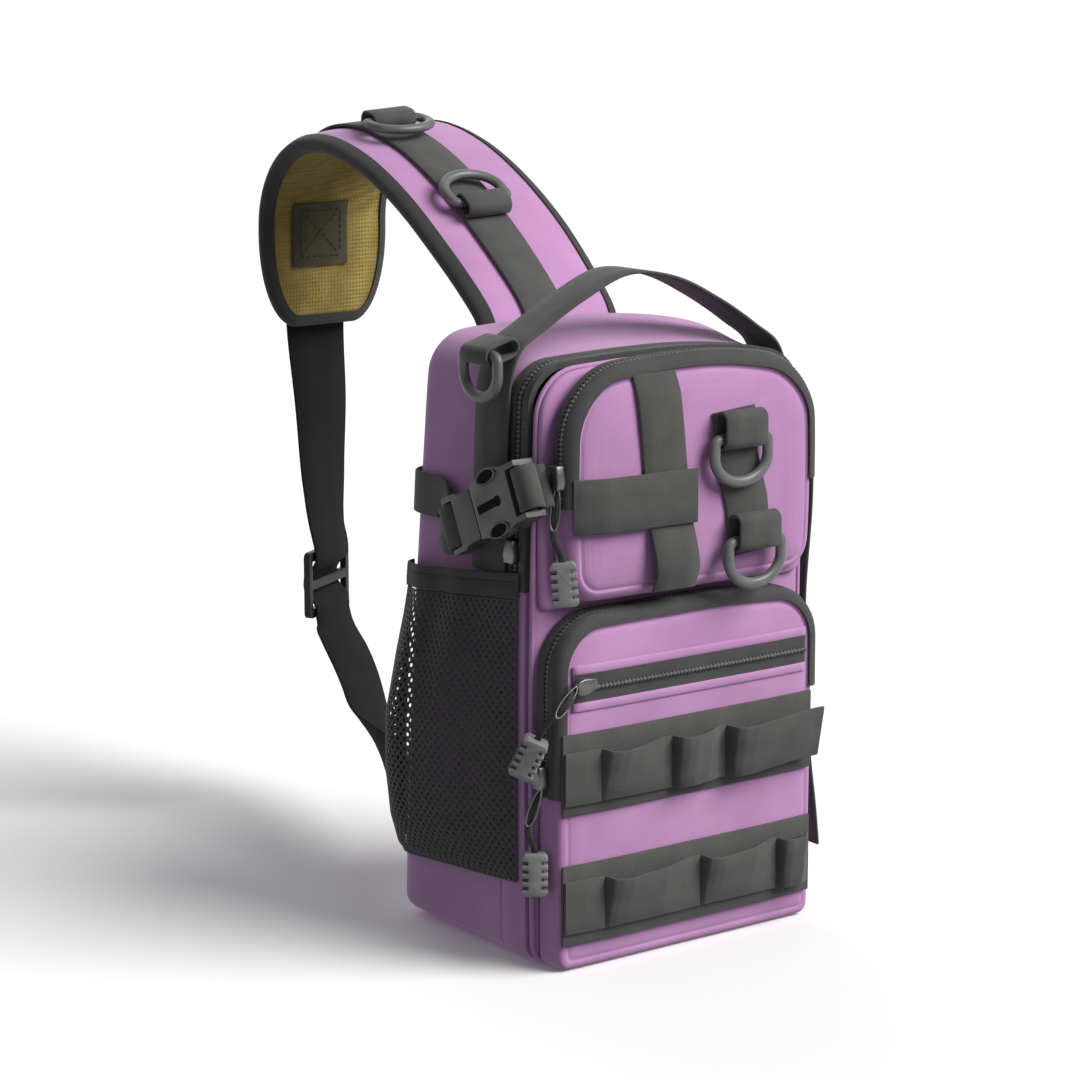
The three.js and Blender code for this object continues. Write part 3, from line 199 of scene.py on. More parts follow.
woven = [("X", 520), ("Y", 520), ("Z", 520)]
ribbed = [("X", 260), ("Y", 420)]
finishes = {  # two tones, cloud size, roughness, bump, and the rest by name; hollow sets how dark the painted shade in the weave's hollows goes
    "purple_cloth": ((181, 129, 177), (193, 142, 188), 26, (0.72, 0.86), 0.12, {
        "waves": woven, "hollow": 0.965, "sockets": {"Sheen Weight": 0.25, "Sheen Roughness": 0.5}}),
    "grey_webbing": ((68, 67, 65), (81, 80, 77), 60, (0.8, 0.92), 0.22, {
        "coords": "UV", "waves": ribbed, "hollow": 0.9, "sockets": {"Sheen Weight": 0.12}}),
    "black_webbing": ((27, 28, 28), (34, 34, 34), 60, (0.78, 0.9), 0.22, {
        "coords": "UV", "waves": ribbed, "hollow": 0.9, "sockets": {"Specular IOR Level": 0.14}}),
    "zip_tape": ((58, 57, 55), (70, 69, 67), 70, (0.74, 0.88), 0.25, {
        "waves": woven, "hollow": 0.85, "sockets": {"Sheen Weight": 0.1}}),
    "zip_coil": ((84, 83, 80), (104, 103, 100), 300, (0.4, 0.55), 0.1, {}),
    "net": ((38, 38, 37), (50, 50, 48), 120, (0.7, 0.85), 0.2, {"sockets": {"Sheen Weight": 0.1}}),
    "binding": ((46, 46, 42), (57, 57, 53), 70, (0.8, 0.92), 0.3, {
        "waves": woven, "hollow": 0.82, "sockets": {"Sheen Weight": 0.1}}),
    "lining": ((176, 152, 74), (200, 176, 96), 90, (0.86, 0.96), 0.7, {
        "grain": 520, "waves": [("X", 150), ("Y", 150), ("Z", 150)], "waver": 3, "hollow": 0.68,
        "relief": 0.0006}),
    "patch": ((68, 63, 45), (82, 77, 56), 90, (0.85, 0.95), 0.3, {"waves": woven}),
    "ring_plastic": ((96, 96, 95), (108, 108, 107), 110, (0.34, 0.46), 0.06, {"grain": 1500}),
    "buckle_plastic": ((52, 52, 52), (62, 62, 62), 110, (0.36, 0.5), 0.08, {"grain": 1500}),
    # near-black painted shade for the insides of the buckle's windows and slot
    "buckle_painted_shade": ((16, 16, 16), (22, 22, 22), 110, (0.7, 0.8), 0.05, {
        "sockets": {"Specular IOR Level": 0.05}}),
    "slider_plastic": ((26, 26, 26), (34, 34, 34), 110, (0.4, 0.5), 0.08, {
        "grain": 1500, "sockets": {"Specular IOR Level": 0.3}}),
    "zip_metal": ((92, 92, 90), (112, 112, 110), 260, (0.26, 0.42), 0.05, {"sockets": {"Metallic": 0.9}}),
    "pull_cord": ((40, 40, 39), (56, 56, 54), 300, (0.8, 0.9), 0.5, {
        "coords": "UV", "waves": [("DIAGONAL", 420), ("Y", 300)], "hollow": 0.7}),
    "grip_rubber": ((116, 116, 115), (130, 130, 129), 160, (0.55, 0.7), 0.12, {"grain": 1800}),
    "thread": ((50, 47, 36), (60, 56, 44), 200, (0.7, 0.85), 0.1, {}),
}
floorFinish = ((251, 250, 247), (254, 253, 250), 0.4, (0.85, 0.9), 0.0, {})
finish = {name: makeFinish(name, *spec) for name, spec in finishes.items()}
print("finishes made:", len(finish))

floorBm = bmesh.new()
bmesh.ops.create_grid(floorBm, x_segments=2, y_segments=2, size=studio["floorReach"])
floorMesh = bpy.data.meshes.new("floor")
floorBm.to_mesh(floorMesh)
floorBm.free()
floorMesh.transform(Matrix.Translation((0, 0, cadBox[0][2] - studio["floorDrop"])))
floor = bpy.data.objects.new("floor", floorMesh)
floorMesh.materials.append(makeFinish("floor", *floorFinish))
scene.collection.objects.link(floor)
floor.visible_diffuse = False  # no glow from the floor on the bag, as in the photo


# loops of points, and skins drawn from one loop to the next
def loopEdges(bm, loop):
    return [bm.edges.get((a, b)) for a, b in zip(loop, loop[1:] + loop[:1])]


def startLoop(bm, points):
    loop = bmesh.ops.create_circle(bm, segments=len(points), radius=1)["verts"]
    for vert, point in zip(loop, points):
        vert.co = point
    return loop


def growLoop(bm, loop, points):
    made = bmesh.ops.extrude_edge_only(bm, edges=loopEdges(bm, loop))["geom"]
    fresh = {part for part in made if isinstance(part, bmesh.types.BMVert)}
    grown = []
    for vert, point in zip(loop, points):
        partner = next(edge.other_vert(vert) for edge in vert.link_edges if edge.other_vert(vert) in fresh)
        partner.co = point
        grown.append(partner)
    return grown


def loft(bm, rings, joined=False, capped=True):
    loops = [startLoop(bm, rings[0])]
    for points in rings[1:]:
        loops.append(growLoop(bm, loops[-1], points))
    if joined:
        bmesh.ops.bridge_loops(bm, edges=loopEdges(bm, loops[0]) + loopEdges(bm, loops[-1]))
    elif capped:
        for loop in (loops[0], loops[-1]):
            bmesh.ops.edgeloop_fill(bm, edges=loopEdges(bm, loop))
    return loops


# a smooth run through stations of (place, across), in steps of about the given length
def smoothRun(stations, step):
    places = [Vector(p) for p, _ in stations]
    spans = [(b - a).length for a, b in zip(places, places[1:])]
    rates = [(b - a) / span for a, b, span in zip(places, places[1:], spans)]
    slopes = rates[:1]
    for i in range(1, len(rates)):
        slopes.append((rates[i - 1] * spans[i] + rates[i] * spans[i - 1]) / (spans[i] + spans[i - 1]))
    slopes += rates[-1:]
    run = []
    for i, span in enumerate(spans):
        pieces = max(1, round(span / step))
        leave, arrive = slopes[i] * span, slopes[i + 1] * span
        for k in range(pieces):
            t = k / pieces
            start = places[i] * (2 * t ** 3 - 3 * t ** 2 + 1) + leave * (t ** 3 - 2 * t ** 2 + t)
            end = places[i + 1] * (3 * t ** 2 - 2 * t ** 3) + arrive * (t ** 3 - t ** 2)
            run.append((start + end, stations[i][1].lerp(stations[i + 1][1], t)))
    run.append((places[-1], stations[-1][1]))
    return run


def strapRun(points, across, step=3):
    return smoothRun([(p, across) for p in points], step * mm)


def evenRun(stations, step):
    run = [stations[0]]
    left = 0
    for a, b in zip(stations, stations[1:]):
        span = (b[0] - a[0]).length
        at = step - left
        while at <= span:
            run.append((a[0].lerp(b[0], at / span), a[1].lerp(b[1], at / span)))
            at += step
        left = (left + span) % step
    return run


# a profile drawn along stations; a skewed sweep keeps the stations' own slant
def sweep(bm, stations, profile, coords, sizes=None, joined=False, skewed=False):
    count = len(stations)
    rings = []
    travelled = 0
    marks = []
    for i, (here, across) in enumerate(stations):
        before = stations[i - 1 if i or joined else 0][0]
        after = stations[(i + 1) % count if joined else min(i + 1, count - 1)][0]
        along = (after - before).normalized()
        side = (across if skewed else across - along * across.dot(along)).normalized()
        face = side.cross(along).normalized()
        size = sizes[i] if sizes else 1
        rings.append([here + side * a * size + face * o * size for a, o in profile])
        travelled += (here - stations[max(i - 1, 0)][0]).length
        marks.append(travelled)
    loops = loft(bm, rings, joined=joined)
    for loop, mark in zip(loops, marks):
        for vert, (a, o) in zip(loop, profile):
            coords[vert] = (a, mark)
    return loops


webbing = {"wide": 38, "narrow": 25, "slim": 20, "thick": 1.6}
wideWeb, narrowWeb, slimWeb, webThick = webbing.values()


def webProfile(width, thick):
    w, t = width / 2 * mm, thick / 2 * mm
    upper = [(-w, t * 0.45), (-w + t * 0.6, t), (-w / 3, t), (w / 3, t), (w - t * 0.6, t), (w, t * 0.45)]
    return upper + [(a, -o) for a, o in reversed(upper)]


def arc(x, y, wide, high, angles):
    return [(x + wide * cos(radians(a)), y + high * sin(radians(a))) for a in angles]


def roundProfile(radius, sides):
    return arc(0, 0, radius, radius, [360 * k / sides for k in range(sides)])


def finishPiece(bm, name, finishName, slot=None, nodes=(), body="bag", sharp=None):
    bmesh.ops.recalc_face_normals(bm, faces=bm.faces[:])
    mesh = bpy.data.meshes.new(name)
    bm.to_mesh(mesh)
    bm.free()
    mesh.materials.append(finish[finishName])
    for face in mesh.polygons:
        face.use_smooth = True
    if sharp:
        mesh.set_sharp_from_angle(angle=radians(sharp))
    piece = bpy.data.objects.new(name, mesh)
    scene.collection.objects.link(piece)
    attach(piece, body)
    if nodes:
        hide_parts(*nodes)
    return piece


def loftPiece(name, rings, finishName, **given):
    bm = bmesh.new()
    loft(bm, rings)
    return finishPiece(bm, name, finishName, **given)


# a laid piece also keeps where each point is across and along its run, for the weave
def sweptPiece(name, runs, profile, finishName, sizes=None, joined=False, skewed=False, laid=False, **given):
    bm = bmesh.new()
    coords = {}
    for stations in runs:
        sweep(bm, stations, profile, coords, sizes, joined, skewed)
    if laid:
        layer = bm.loops.layers.uv.new("run")
        for face in bm.faces:
            for corner in face.loops:
                corner[layer].uv = coords[corner.vert]
    return finishPiece(bm, name, finishName, **given)


def webPiece(name, node, width, *runs, finishName="grey_webbing", thick=webThick, **given):
    sweptPiece(name, runs, webProfile(width, thick), finishName, laid=True, nodes=[node], sharp=55, **given)


def addModifier(piece, kind, **settings):
    modifier = piece.modifiers.new(kind.lower(), kind)
    for key, value in settings.items():
        setattr(modifier, key, value)


def soften(piece):
    addModifier(piece, "SUBSURF", levels=1, render_levels=1)


# small hollows and swells of cloth, always inwards so that what lies on it stays clear
def wrinkle(bm, amount, size, shift, still=()):
    bmesh.ops.recalc_face_normals(bm, faces=bm.faces[:])
    bm.normal_update()
    for vert in bm.verts:
        if not vert.is_boundary and vert not in still:
            pull = 0.5 + 0.5 * noise.noise(vert.co / (size * mm) + Vector((shift, 2 * shift, 3 * shift)))
            vert.co -= vert.normal * amount * mm * pull


# hard parts keep their shape from the frame, with eased edges
def copyNode(node, name, finishName, edge, slot=None, steps=3):
    bm = bmesh.new()
    bm.from_mesh(frame["nodes"][node].data)
    bmesh.ops.remove_doubles(bm, verts=bm.verts[:], dist=1e-6)
    bmesh.ops.dissolve_limit(bm, angle_limit=radians(2), verts=bm.verts[:], edges=bm.edges[:])
    crisp = [e for e in bm.edges if e.is_manifold and e.calc_face_angle(0) > radians(28)]
    bmesh.ops.bevel(bm, geom=crisp, offset=edge * mm, offset_type="OFFSET", segments=steps, profile=0.5,
                    affect="EDGES", clamp_overlap=True, material=-1)
    return finishPiece(bm, name, finishName, slot=slot, nodes=[node], sharp=40)


# zip pulls: a slider, a wire bail, a doubled cord and a ribbed grip
pulls = {
    "upper": {"slider": (-78.2, 0.5, 227), "along": (0, 0, -1), "grip": (0.02, -0.12, -1),
              "cord": [(-80.5, -1, 211), (-82, -2.5, 200), (-78.5, -4, 190)]},
    "slash": {"slider": (-66.5, -6, 131.5), "along": (-1, 0, -0.12), "grip": (-0.2, 0.42, -0.88),
              "cord": [(-80, -9.5, 125), (-86, -4, 117), (-88.5, 0.6, 109)]},
    "lower": {"slider": (-81.8, 8.5, 88), "along": (0, 0, -1), "grip": (0, 0, -1),
              "cord": [(-84.5, 10, 73), (-87, 10.5, 63), (-84, 9, 53.5)]},
}
pullSizes = {"strand": 0.75, "sides": 16, "nose": 6.5, "inGrip": 4, "gripEdge": 0.5, "sliderEdge": 0.7}
bail = {"wire": 0.5, "wide": 2.0, "share": 0.42, "slack": 2, "off": 1.9, "taper": 0.25, "steps": 40}
toViewer = Vector((-0.6, -0.8, 0))


for name, pull in pulls.items():
    along = Vector(pull["along"]).normalized()
    start = spot(*pull["slider"]) + along * pullSizes["nose"] * mm
    gripAlong = Vector(pull["grip"]).normalized()
    knots = [start] + [spot(*p) for p in pull["cord"]]
    knots.append(knots[-1] + gripAlong * pullSizes["inGrip"] * mm)
    route = strapRun(knots, toViewer.cross(gripAlong).normalized(), 1.0)
    strand = pullSizes["strand"] * mm
    lobes = []
    for k in range(pullSizes["sides"]):  # two strands side by side in one outline
        angle = 2 * pi * k / pullSizes["sides"]
        reach = strand * (0.72 + 1.28 * abs(cos(angle)) ** 1.2)
        lobes.append((reach * cos(angle), strand * sin(angle) * (0.62 + 0.38 * abs(cos(angle)) ** 0.3)))
    cordPiece = sweptPiece(name + "_pull_cord_braid", [route], lobes, "pull_cord", laid=True,
                           nodes=[name + "_pull_cord"])
    grip = copyNode(name + "_pull_grip", name + "_pull_grip_moulded", "grip_rubber", pullSizes["gripEdge"],
                    steps=2)
    line = [p for p, _ in route]
    # the wire bail runs beside the cord from the slider
    bailEnd = line[int(len(line) * bail["share"])]
    bailRun = (bailEnd - start).normalized()
    bailSide = toViewer.cross(bailRun).normalized() * bail["wide"] * mm
    bailReach = (bailEnd - start).length / 2 + bail["slack"] * mm
    middle = start.lerp(bailEnd, 0.5) + toViewer.normalized() * bail["off"] * mm
    wire = []
    for k in range(bail["steps"]):
        a = 2 * pi * k / bail["steps"]
        bow = bailSide * sin(a) * (1 + bail["taper"] * cos(a))
        wire.append((middle + bailRun * bailReach * cos(a) + bow, toViewer))
    sweptPiece(name + "_pull_bail", [wire], roundProfile(bail["wire"] * mm, 8), "zip_metal", joined=True)
    copyNode(name + "_zip_slider", name + "_zip_slider_cast", "zip_metal", pullSizes["sliderEdge"])
copyNode("main_zip_slider", "main_zip_slider_cast", "zip_metal", pullSizes["sliderEdge"])
print("pull cords laid")


# outlines of the pouches
def outlineRing(form, y, inset, cornerSteps=6, edgeSteps=10):
    side = form["half"] - inset
    bottom, top = form["low"] + inset, form["high"] - inset
    lowRound, topRound = max(form["lowRadius"] - inset, 3), max(form["topRadius"] - inset, 3)
    corners = [
        (side - topRound, top - topRound, topRound, 0), (-side + topRound, top - topRound, topRound, 90),
        (-side + lowRound, bottom + lowRound, lowRound, 180),
        (side - lowRound, bottom + lowRound, lowRound, 270),
    ]

    turns = [90 * k / cornerSteps for k in range(cornerSteps + 1)]
    arcs = [arc(x, z, r, r, [start + turn for turn in turns]) for x, z, r, start in corners]
    flat = []
    for curve, following in zip(arcs, arcs[1:] + arcs[:1]):
        ends = list(zip(curve[-1], following[0]))
        flat += curve + [[mix(a, b, k / edgeSteps) for a, b in ends] for k in range(1, edgeSteps)]
    fall, fallFrom, fallTo = form.get("fall", (0, 0, 1))
    ring = []
    for x, z in flat:
        height = min(max((z - bottom) / (top - bottom), 0), 1)
        spread = 1 + form["puff"] / form["half"] * sin(pi * height)
        slump = form["sag"] * height ** 4 * max(x / side, 0) ** 2
        slump += fall * height ** 4 * (1 - ease(y, fallFrom, fallTo))
        ring.append(place(x * spread, y, z + form["crown"] * height * (1 - (x / side) ** 2) - slump))
    return ring


def pouchPiece(name, form, sections, nodes=(), wall=1.8, fold=(0.7, 46), shift=0.0):
    bm = bmesh.new()
    loops = loft(bm, [outlineRing(form, y, inset) for y, inset in sections], capped=False)
    bmesh.ops.edgeloop_fill(bm, edges=loopEdges(bm, loops[-1]))
    wrinkle(bm, fold[0], fold[1], shift, still=set(loops[-1]))
    piece = finishPiece(bm, name, "purple_cloth", nodes=nodes)
    addModifier(piece, "SOLIDIFY", thickness=wall * mm, offset=-1, use_even_offset=True)
    soften(piece)


# a cut is (height, whether the part above stays, the x beyond which it cuts)
def hoopBand(name, form, profile, finishName, node, cuts):
    bm = bmesh.new()
    loft(bm, [outlineRing(form, y, inset, 10, 24) for y, inset in profile], joined=True)
    for z, keepAbove, beyond in cuts:
        faces = [f for f in bm.faces if f.calc_center_median().x > beyond]
        parts = {part for f in faces for part in (*f.verts, *f.edges, f)}
        bmesh.ops.bisect_plane(bm, geom=list(parts), plane_co=place(0, 0, z), plane_no=up,
                               clear_inner=keepAbove, clear_outer=not keepAbove)
    bmesh.ops.holes_fill(bm, edges=[e for e in bm.edges if e.is_boundary], sides=0)
    finishPiece(bm, name, finishName, nodes=[node], sharp=45)


# the part of an outline above given heights, from the right side over the top to the left
def outlineRun(form, y, inset, endLeft, endRight):
    ring = outlineRing(form, y, inset, 12, 60)
    ring = ring[-59:] + ring[:-59]
    low = {True: place(0, 0, endRight).z, False: place(0, 0, endLeft).z}
    return strapRun([p for p in ring if p.z > low[p.x > 0]], backward)


coil = {"step": 0.55, "sides": 6, "spread": 1.25, "tooth": 1.15, "hollow": 0.5}


def coilPiece(name, stations, radius):  # the teeth are swells along one ridge
    run = evenRun(stations, coil["step"] * mm)
    profile = [(a * coil["spread"], o) for a, o in roundProfile(radius * mm, coil["sides"])]
    sizes = [coil["tooth"] if i % 4 < 2 else coil["hollow"] for i in range(len(run))]
    sweptPiece(name, [run], profile, "zip_coil", sizes=sizes, slot="zip_tape")


def zipPouch(part, cloth, node, pouch):
    form = pouch["form"]
    pouchPiece(cloth, form, pouch["sections"], nodes=[node], fold=pouch["fold"], shift=pouch["shift"])
    hoopBand(part + "_zip_tapes", form, pouch["zip"], "zip_tape", part + "_zipper", pouch["cuts"])
    coilPiece(part + "_zip_coil", outlineRun(form, *pouch["coil"]), pouch["coilRadius"])


# a section is (depth, inset); the fall of the top edge fades between two depths
mainBody = {
    "form": {"half": 80, "low": -4, "high": 283, "topRadius": 20, "lowRadius": 9, "crown": 3, "puff": 2,
             "sag": 6, "fall": (8.5, 41, 95)},
    "sections": [
        (41, 0), (43, 0), (56, 0), (71, 0), (86, 0), (101, 0), (113, 0), (118.5, 0.6), (123, 2), (127.3, 6),
        (128.7, 11), (129, 18), (129, 30), (129, 42), (129, 54), (129, 68)],
    "zip": [
        (22.3, 0.5), (22.5, 0), (28.2, 0), (28.7, 0.4), (29.3, 1.7), (33.7, 1.7), (34.3, 0.4), (34.8, 0),
        (40.5, 0), (40.7, 0.5), (40.7, 2.9), (22.3, 2.9)],
    "gusset": [(22.3, 0.6), (23.4, 0.2), (31.5, 0), (39.6, 0.2), (40.7, 0.6), (40.7, 2.9), (22.3, 2.9)],
    "cuts": [(172, True, -1)], "gussetCuts": [(171.7, False, -1)], "coil": (31.5, 0.9, 176, 176),
    "coilRadius": 1.05, "fold": (0.9, 52), "shift": 0,
    "corner": [(41, 0), (116, 0), (123, 2), (127.3, 6), (129, 13)],
}
mainForm = mainBody["form"]
zipPouch("main", "main_body_cloth", "main_shell", mainBody)
hoopBand("gusset_cloth", mainForm, mainBody["gusset"], "purple_cloth", "lower_gusset",
         mainBody["gussetCuts"])
print("main body made")

frontPanel = {
    "form": {"half": 78, "low": -3, "high": 271.5, "topRadius": 20, "lowRadius": 8, "crown": 3, "puff": 2,
             "sag": 6},
    "sections": [
        (21.7, 0), (20.4, 0), (19.2, 0), (18, 0.8), (17.4, 2.6), (17.4, 8), (17.4, 20), (17.4, 34),
        (17.4, 50), (17.4, 68)],
    "yokeForm": {"half": 78, "low": 163, "high": 271.5, "topRadius": 20, "lowRadius": 5, "crown": 3,
                 "puff": 1.2, "sag": 6},
    "yoke": [(17.2, 0.3), (15.6, 0.3), (13.8, 1.2), (13, 4), (13, 12), (13, 24), (13, 40)],
    "pipe": 1.25, "pipeAt": (18.6, 0.1),
}
pouchPiece("front_panel_cloth", frontPanel["form"], frontPanel["sections"], nodes=["front_section"],
           fold=(0.3, 40), wall=1.6)
pouchPiece("yoke_cloth", frontPanel["yokeForm"], frontPanel["yoke"], fold=(0.4, 30), wall=1.4, shift=3.0)
pipeRing = outlineRing(frontPanel["form"], *frontPanel["pipeAt"], 8, 24)
sweptPiece("front_panel_piping", [[(p, backward) for p in pipeRing]],
           roundProfile(frontPanel["pipe"] * mm, 8), "purple_cloth", joined=True)

# face is the plain front that webbing is laid on, as (inset, depth)
upperPocket = {
    "form": {"half": 72, "low": 167, "high": 270, "topRadius": 28, "lowRadius": 16, "crown": 6, "puff": 1.5,
             "sag": 5, "face": [(0.8, 1), (3.2, -2.2), (7, -4), (18, -6.4), (34, -7.4)]},
    "sections": [
        (12.7, 1.5), (9, 0.4), (6, 0), (3.4, 0.2), (1, 0.8), (-0.8, 1.9), (-2.2, 3.2), (-3.2, 4.6),
        (-3.3, 5.6), (-2.5, 6.3), (-3.7, 7.0), (-4.5, 9), (-5.5, 13), (-6.4, 18), (-7.0, 26), (-7.4, 34),
        (-7.5, 44)],
    "zip": [
        (8.5, -0.2), (8.3, -1.9), (4.7, -2.1), (4.1, -1.9), (3.6, -0.9), (1.4, -0.7), (0.9, -1.4),
        (0.4, -1.3), (-2.4, 0.2), (-3.9, 2.4), (-4.5, 4.0), (-4.5, 4.7), (-3.7, 4.8), (-3.0, 3.6),
        (-1.6, 1.9), (0.8, 0.6), (6, 0.1), (8.5, 0.4)],
    "cuts": [(212, True, -1)], "coil": (2.5, -1.2, 214, 214), "coilRadius": 0.95, "fold": (0.5, 34),
    "shift": 1,
}
upperForm = upperPocket["form"]
zipPouch("upper", "upper_pocket_cloth", "upper_pocket", upperPocket)

lowerPocket = {
    "form": {"half": 76.5, "low": -4.5, "high": 159.5, "topRadius": 24, "lowRadius": 6, "crown": 1,
             "puff": 0.5, "sag": 2, "face": [(0.3, 2.6), (1.2, 0.8), (3, 0), (14, -1.2), (34, -2)]},
    "sections": [
        (17.1, 0.6), (12, 0.2), (7, 0), (4.5, 0.1), (2.6, 0.3), (0.8, 1.2), (0, 3), (-0.2, 4.4), (0.5, 5.2),
        (-0.4, 6), (-0.8, 9), (-1.2, 14), (-1.6, 24), (-2, 34), (-2, 48), (-2, 64)],
    "zip": [
        (15.4, 0), (15.2, -1.9), (10.4, -2.1), (9.8, -1.9), (9.3, -0.9), (6.9, -0.9), (6.4, -1.9),
        (5.8, -2.1), (2.4, -1.8), (0.2, -0.8), (-1.0, 1.3), (-1.3, 3.0), (-1.3, 3.8), (-0.6, 3.8),
        (-0.4, 2.6), (0.4, 0.9), (2.3, 0.0), (7, -0.25), (15.4, 0.2)],
    "cuts": [(78, True, -1), (110, True, 0)], "coil": (8.1, -1.2, 80, 112), "coilRadius": 0.95,
    "fold": (0.5, 42), "shift": 2,
}
lowerForm = lowerPocket["form"]
zipPouch("lower", "lower_pocket_cloth", "lower_pocket", lowerPocket)
print("pockets made")


# depth of a pocket's front at a place, and the foremost depth that a strip of some size meets there
def faceDepth(form, x, z):
    aside = x / form["half"]
    top = form["high"] + form["crown"] * (1 - aside ** 2) - form["sag"] * max(aside, 0) ** 2
    inset = min(form["half"] - abs(x), top - z, z - form["low"])
    face = form["face"]
    return rowAt(face, min(max(inset, face[0][0]), face[-1][0]))[1]


def foremost(form, x, z, width, height):
    shares = (-0.5, 0, 0.5)
    return min(faceDepth(form, x + a * width, z + b * height) for a in shares for b in shares) - gap


def rowsBetween(rows, step):
    fine = [rows[0]]
    for a, b in zip(rows, rows[1:]):
        count = max(1, round(abs(b[0] - a[0]) / step))
        fine += [tuple(mix(p, q, (k + 1) / count) for p, q in zip(a, b)) for k in range(count)]
    return fine


def acrossFront(row):
    return [x for x, _ in rowsBetween([(row["left"], 0), (row["right"], 0)], 3)]


def roundedRows(rows, passes):  # the last column, the stand-off, has its corners eased
    fine = [list(row) for row in rowsBetween(rows, 2)]
    for _ in range(passes):
        for row, lift in zip(fine, eased([row[-1] for row in fine])):
            row[-1] = lift
    return fine


def bentRows(rows, step):  # even steps along a bent line, with its corners eased a little
    return eased([p for p, _ in evenRun([(Vector((x, lift, 0)), up) for x, lift in rows], step)])


# loops are (x, stand-off); up to slackTo they open at their tops, as slack webbing does
ladders = {
    "high": {"base": 89.5, "z": 88, "rise": 2.5, "left": -76, "right": 73, "slackTo": -17, "loops": [
        (-76, 0), (-56, 0), (-55.4, 3), (-54.6, 5.4), (-51.5, 6.8), (-46, 7), (-34, 4.5), (-20, 0),
        (-14.8, 0), (-14.2, 3), (-13.4, 5.4), (-10.5, 6.8), (-6, 7), (4, 4.5), (13, 0), (17.6, 0),
        (18.2, 3.5), (19, 6.5), (22, 8.2), (28, 9), (54, 8.5), (66, 7.5), (71.5, 8)]},
    "low": {"base": 28, "z": 27.5, "rise": 0, "left": -76, "right": 73, "slackTo": 48, "loops": [
        (-76, 0), (-54, 0), (-53.4, 3), (-52.6, 5.4), (-49.5, 6.8), (-44, 7.2), (-22, 5), (-3, 0), (2.6, 0),
        (3.2, 3), (4, 5.4), (7, 6.8), (12, 7.2), (32, 5), (46, 0), (50, 0), (50.6, 3), (51.4, 5.2),
        (54, 6.3), (62, 6.5), (69, 1)]},
}
slackness = {"step": 0.6, "lean": 1.3, "open": 1.1, "stand": 0.7, "strip": 6, "riseFrom": 20, "riseTo": 60}
for level, row in ladders.items():
    base = []
    for x in acrossFront(row):
        face = foremost(lowerForm, x, row["base"], slackness["strip"], wideWeb)
        base.append((place(x, face - webThick / 2, row["base"]), up))
    webPiece("ladder_base_%s_web" % level, "ladder_base_" + level, wideWeb, base)
    loops = []
    for x, lift, _ in bentRows(row["loops"], slackness["step"]):
        face = foremost(lowerForm, x, row["base"], slackness["strip"], wideWeb) - 2 * gap - webThick
        slack = 1 - ease(x, row["slackTo"] - 1, row["slackTo"] + 1)
        lean = mix(radians(slackness["lean"] * lift), asin(lift * slackness["open"] / narrowWeb), slack)
        z = row["z"] + row["rise"] * ease(x, slackness["riseFrom"], slackness["riseTo"])
        stand = webThick / 2 + lift * mix(1, slackness["stand"], slack)
        loops.append((place(x, face - stand, z), Vector((0, -sin(lean), cos(lean)))))
    webPiece("ladder_loops_%s_web" % level, "ladder_loops_" + level, narrowWeb, loops, skewed=True)

slashZip = {"z": 129, "left": -70, "right": 70, "strip": 6, "high": 14, "coilOff": 0.9, "coilRadius": 0.95,
            "tape": [(-7, 0), (-7, 1.0), (-1.9, 1.2), (-1.4, 0.5), (1.4, 0.5), (1.9, 1.2), (7, 1.0), (7, 0)],
            "welts": {"upper": 8.6, "lower": -8.6}, "weltIn": 0.1, "weltWide": 2.2, "weltThick": 0.55}


def slashRun(off, z=slashZip["z"]):
    run = []
    for x in acrossFront(slashZip):
        face = foremost(lowerForm, x, slashZip["z"], slashZip["strip"], slashZip["high"])
        run.append((place(x, face + off, z), up))
    return run


sweptPiece("slash_zip_tapes", [slashRun(0)], [(a * mm, o * mm) for a, o in slashZip["tape"]], "zip_tape",
           nodes=["slash_zipper"], sharp=40)
coilPiece("slash_zip_coil", slashRun(-slashZip["coilOff"]), slashZip["coilRadius"])
weltProfile = [(a * slashZip["weltWide"], o * slashZip["weltThick"]) for a, o in roundProfile(1.0 * mm, 12)]
for side, rise in slashZip["welts"].items():
    sweptPiece("slash_%s_welt" % side, [slashRun(slashZip["weltIn"], slashZip["z"] + rise)], weltProfile,
               "purple_cloth")


# webbing on the upper pocket: rows of (z, x, stand-off) for a strip that runs down, (x, z, stand-off) across
def frontStrip(rows, passes, across, strip):
    run = []
    for a, b, lift in roundedRows(rows, passes):
        x, z = (a, b) if across is up else (b, a)
        run.append((place(x, foremost(upperForm, x, z, *strip) - webThick / 2 - lift, z), across))
    return run


dropWeb = {"strip": (narrowWeb, 6), "rows": [
    (273, -26.2, -2.6), (268, -25.8, -1.6), (259, -25, 0), (246, -24, 0), (226, -22, 0), (202, -19.5, 0.6),
    (188, -17.5, 4), (178, -16, 4.6), (170, -16, 2.2)]}
webPiece("drop_webbing", "drop_web", narrowWeb, frontStrip(dropWeb["rows"], 3, right, dropWeb["strip"]))
crossWeb = {"strip": (6, narrowWeb), "rows": [
    (-71.4, 213, 0.2), (-66, 213, 1.2), (-57, 213, 2.6), (-47, 213, 2.6), (-13, 213, 3.4), (-6, 213, 3.8)]}
webPiece("cross_webbing", "cross_web", narrowWeb, frontStrip(crossWeb["rows"], 2, up, crossWeb["strip"]))

# webbing folded round a bar, which is pulled along the first axis and stands off along the second
loopSizes = {"radius": 3.9, "length": 8.6, "sideLength": 10.8, "padLength": 5}


def foldRun(origin, first, second, length=loopSizes["length"], r=loopSizes["radius"]):
    flat = [(-length / 2, -r), (-length / 4, -r)]
    flat += arc(0, 0, r, r, range(-90, 91, 15))
    flat += [(-length / 2, r)]
    flat += arc(-length, 0, r, r, range(90, 271, 15))
    flat += [(-length * 0.51, -r)]
    third = first.cross(second)
    return [(origin + first * a * mm + second * b * mm, third) for a, b in flat]


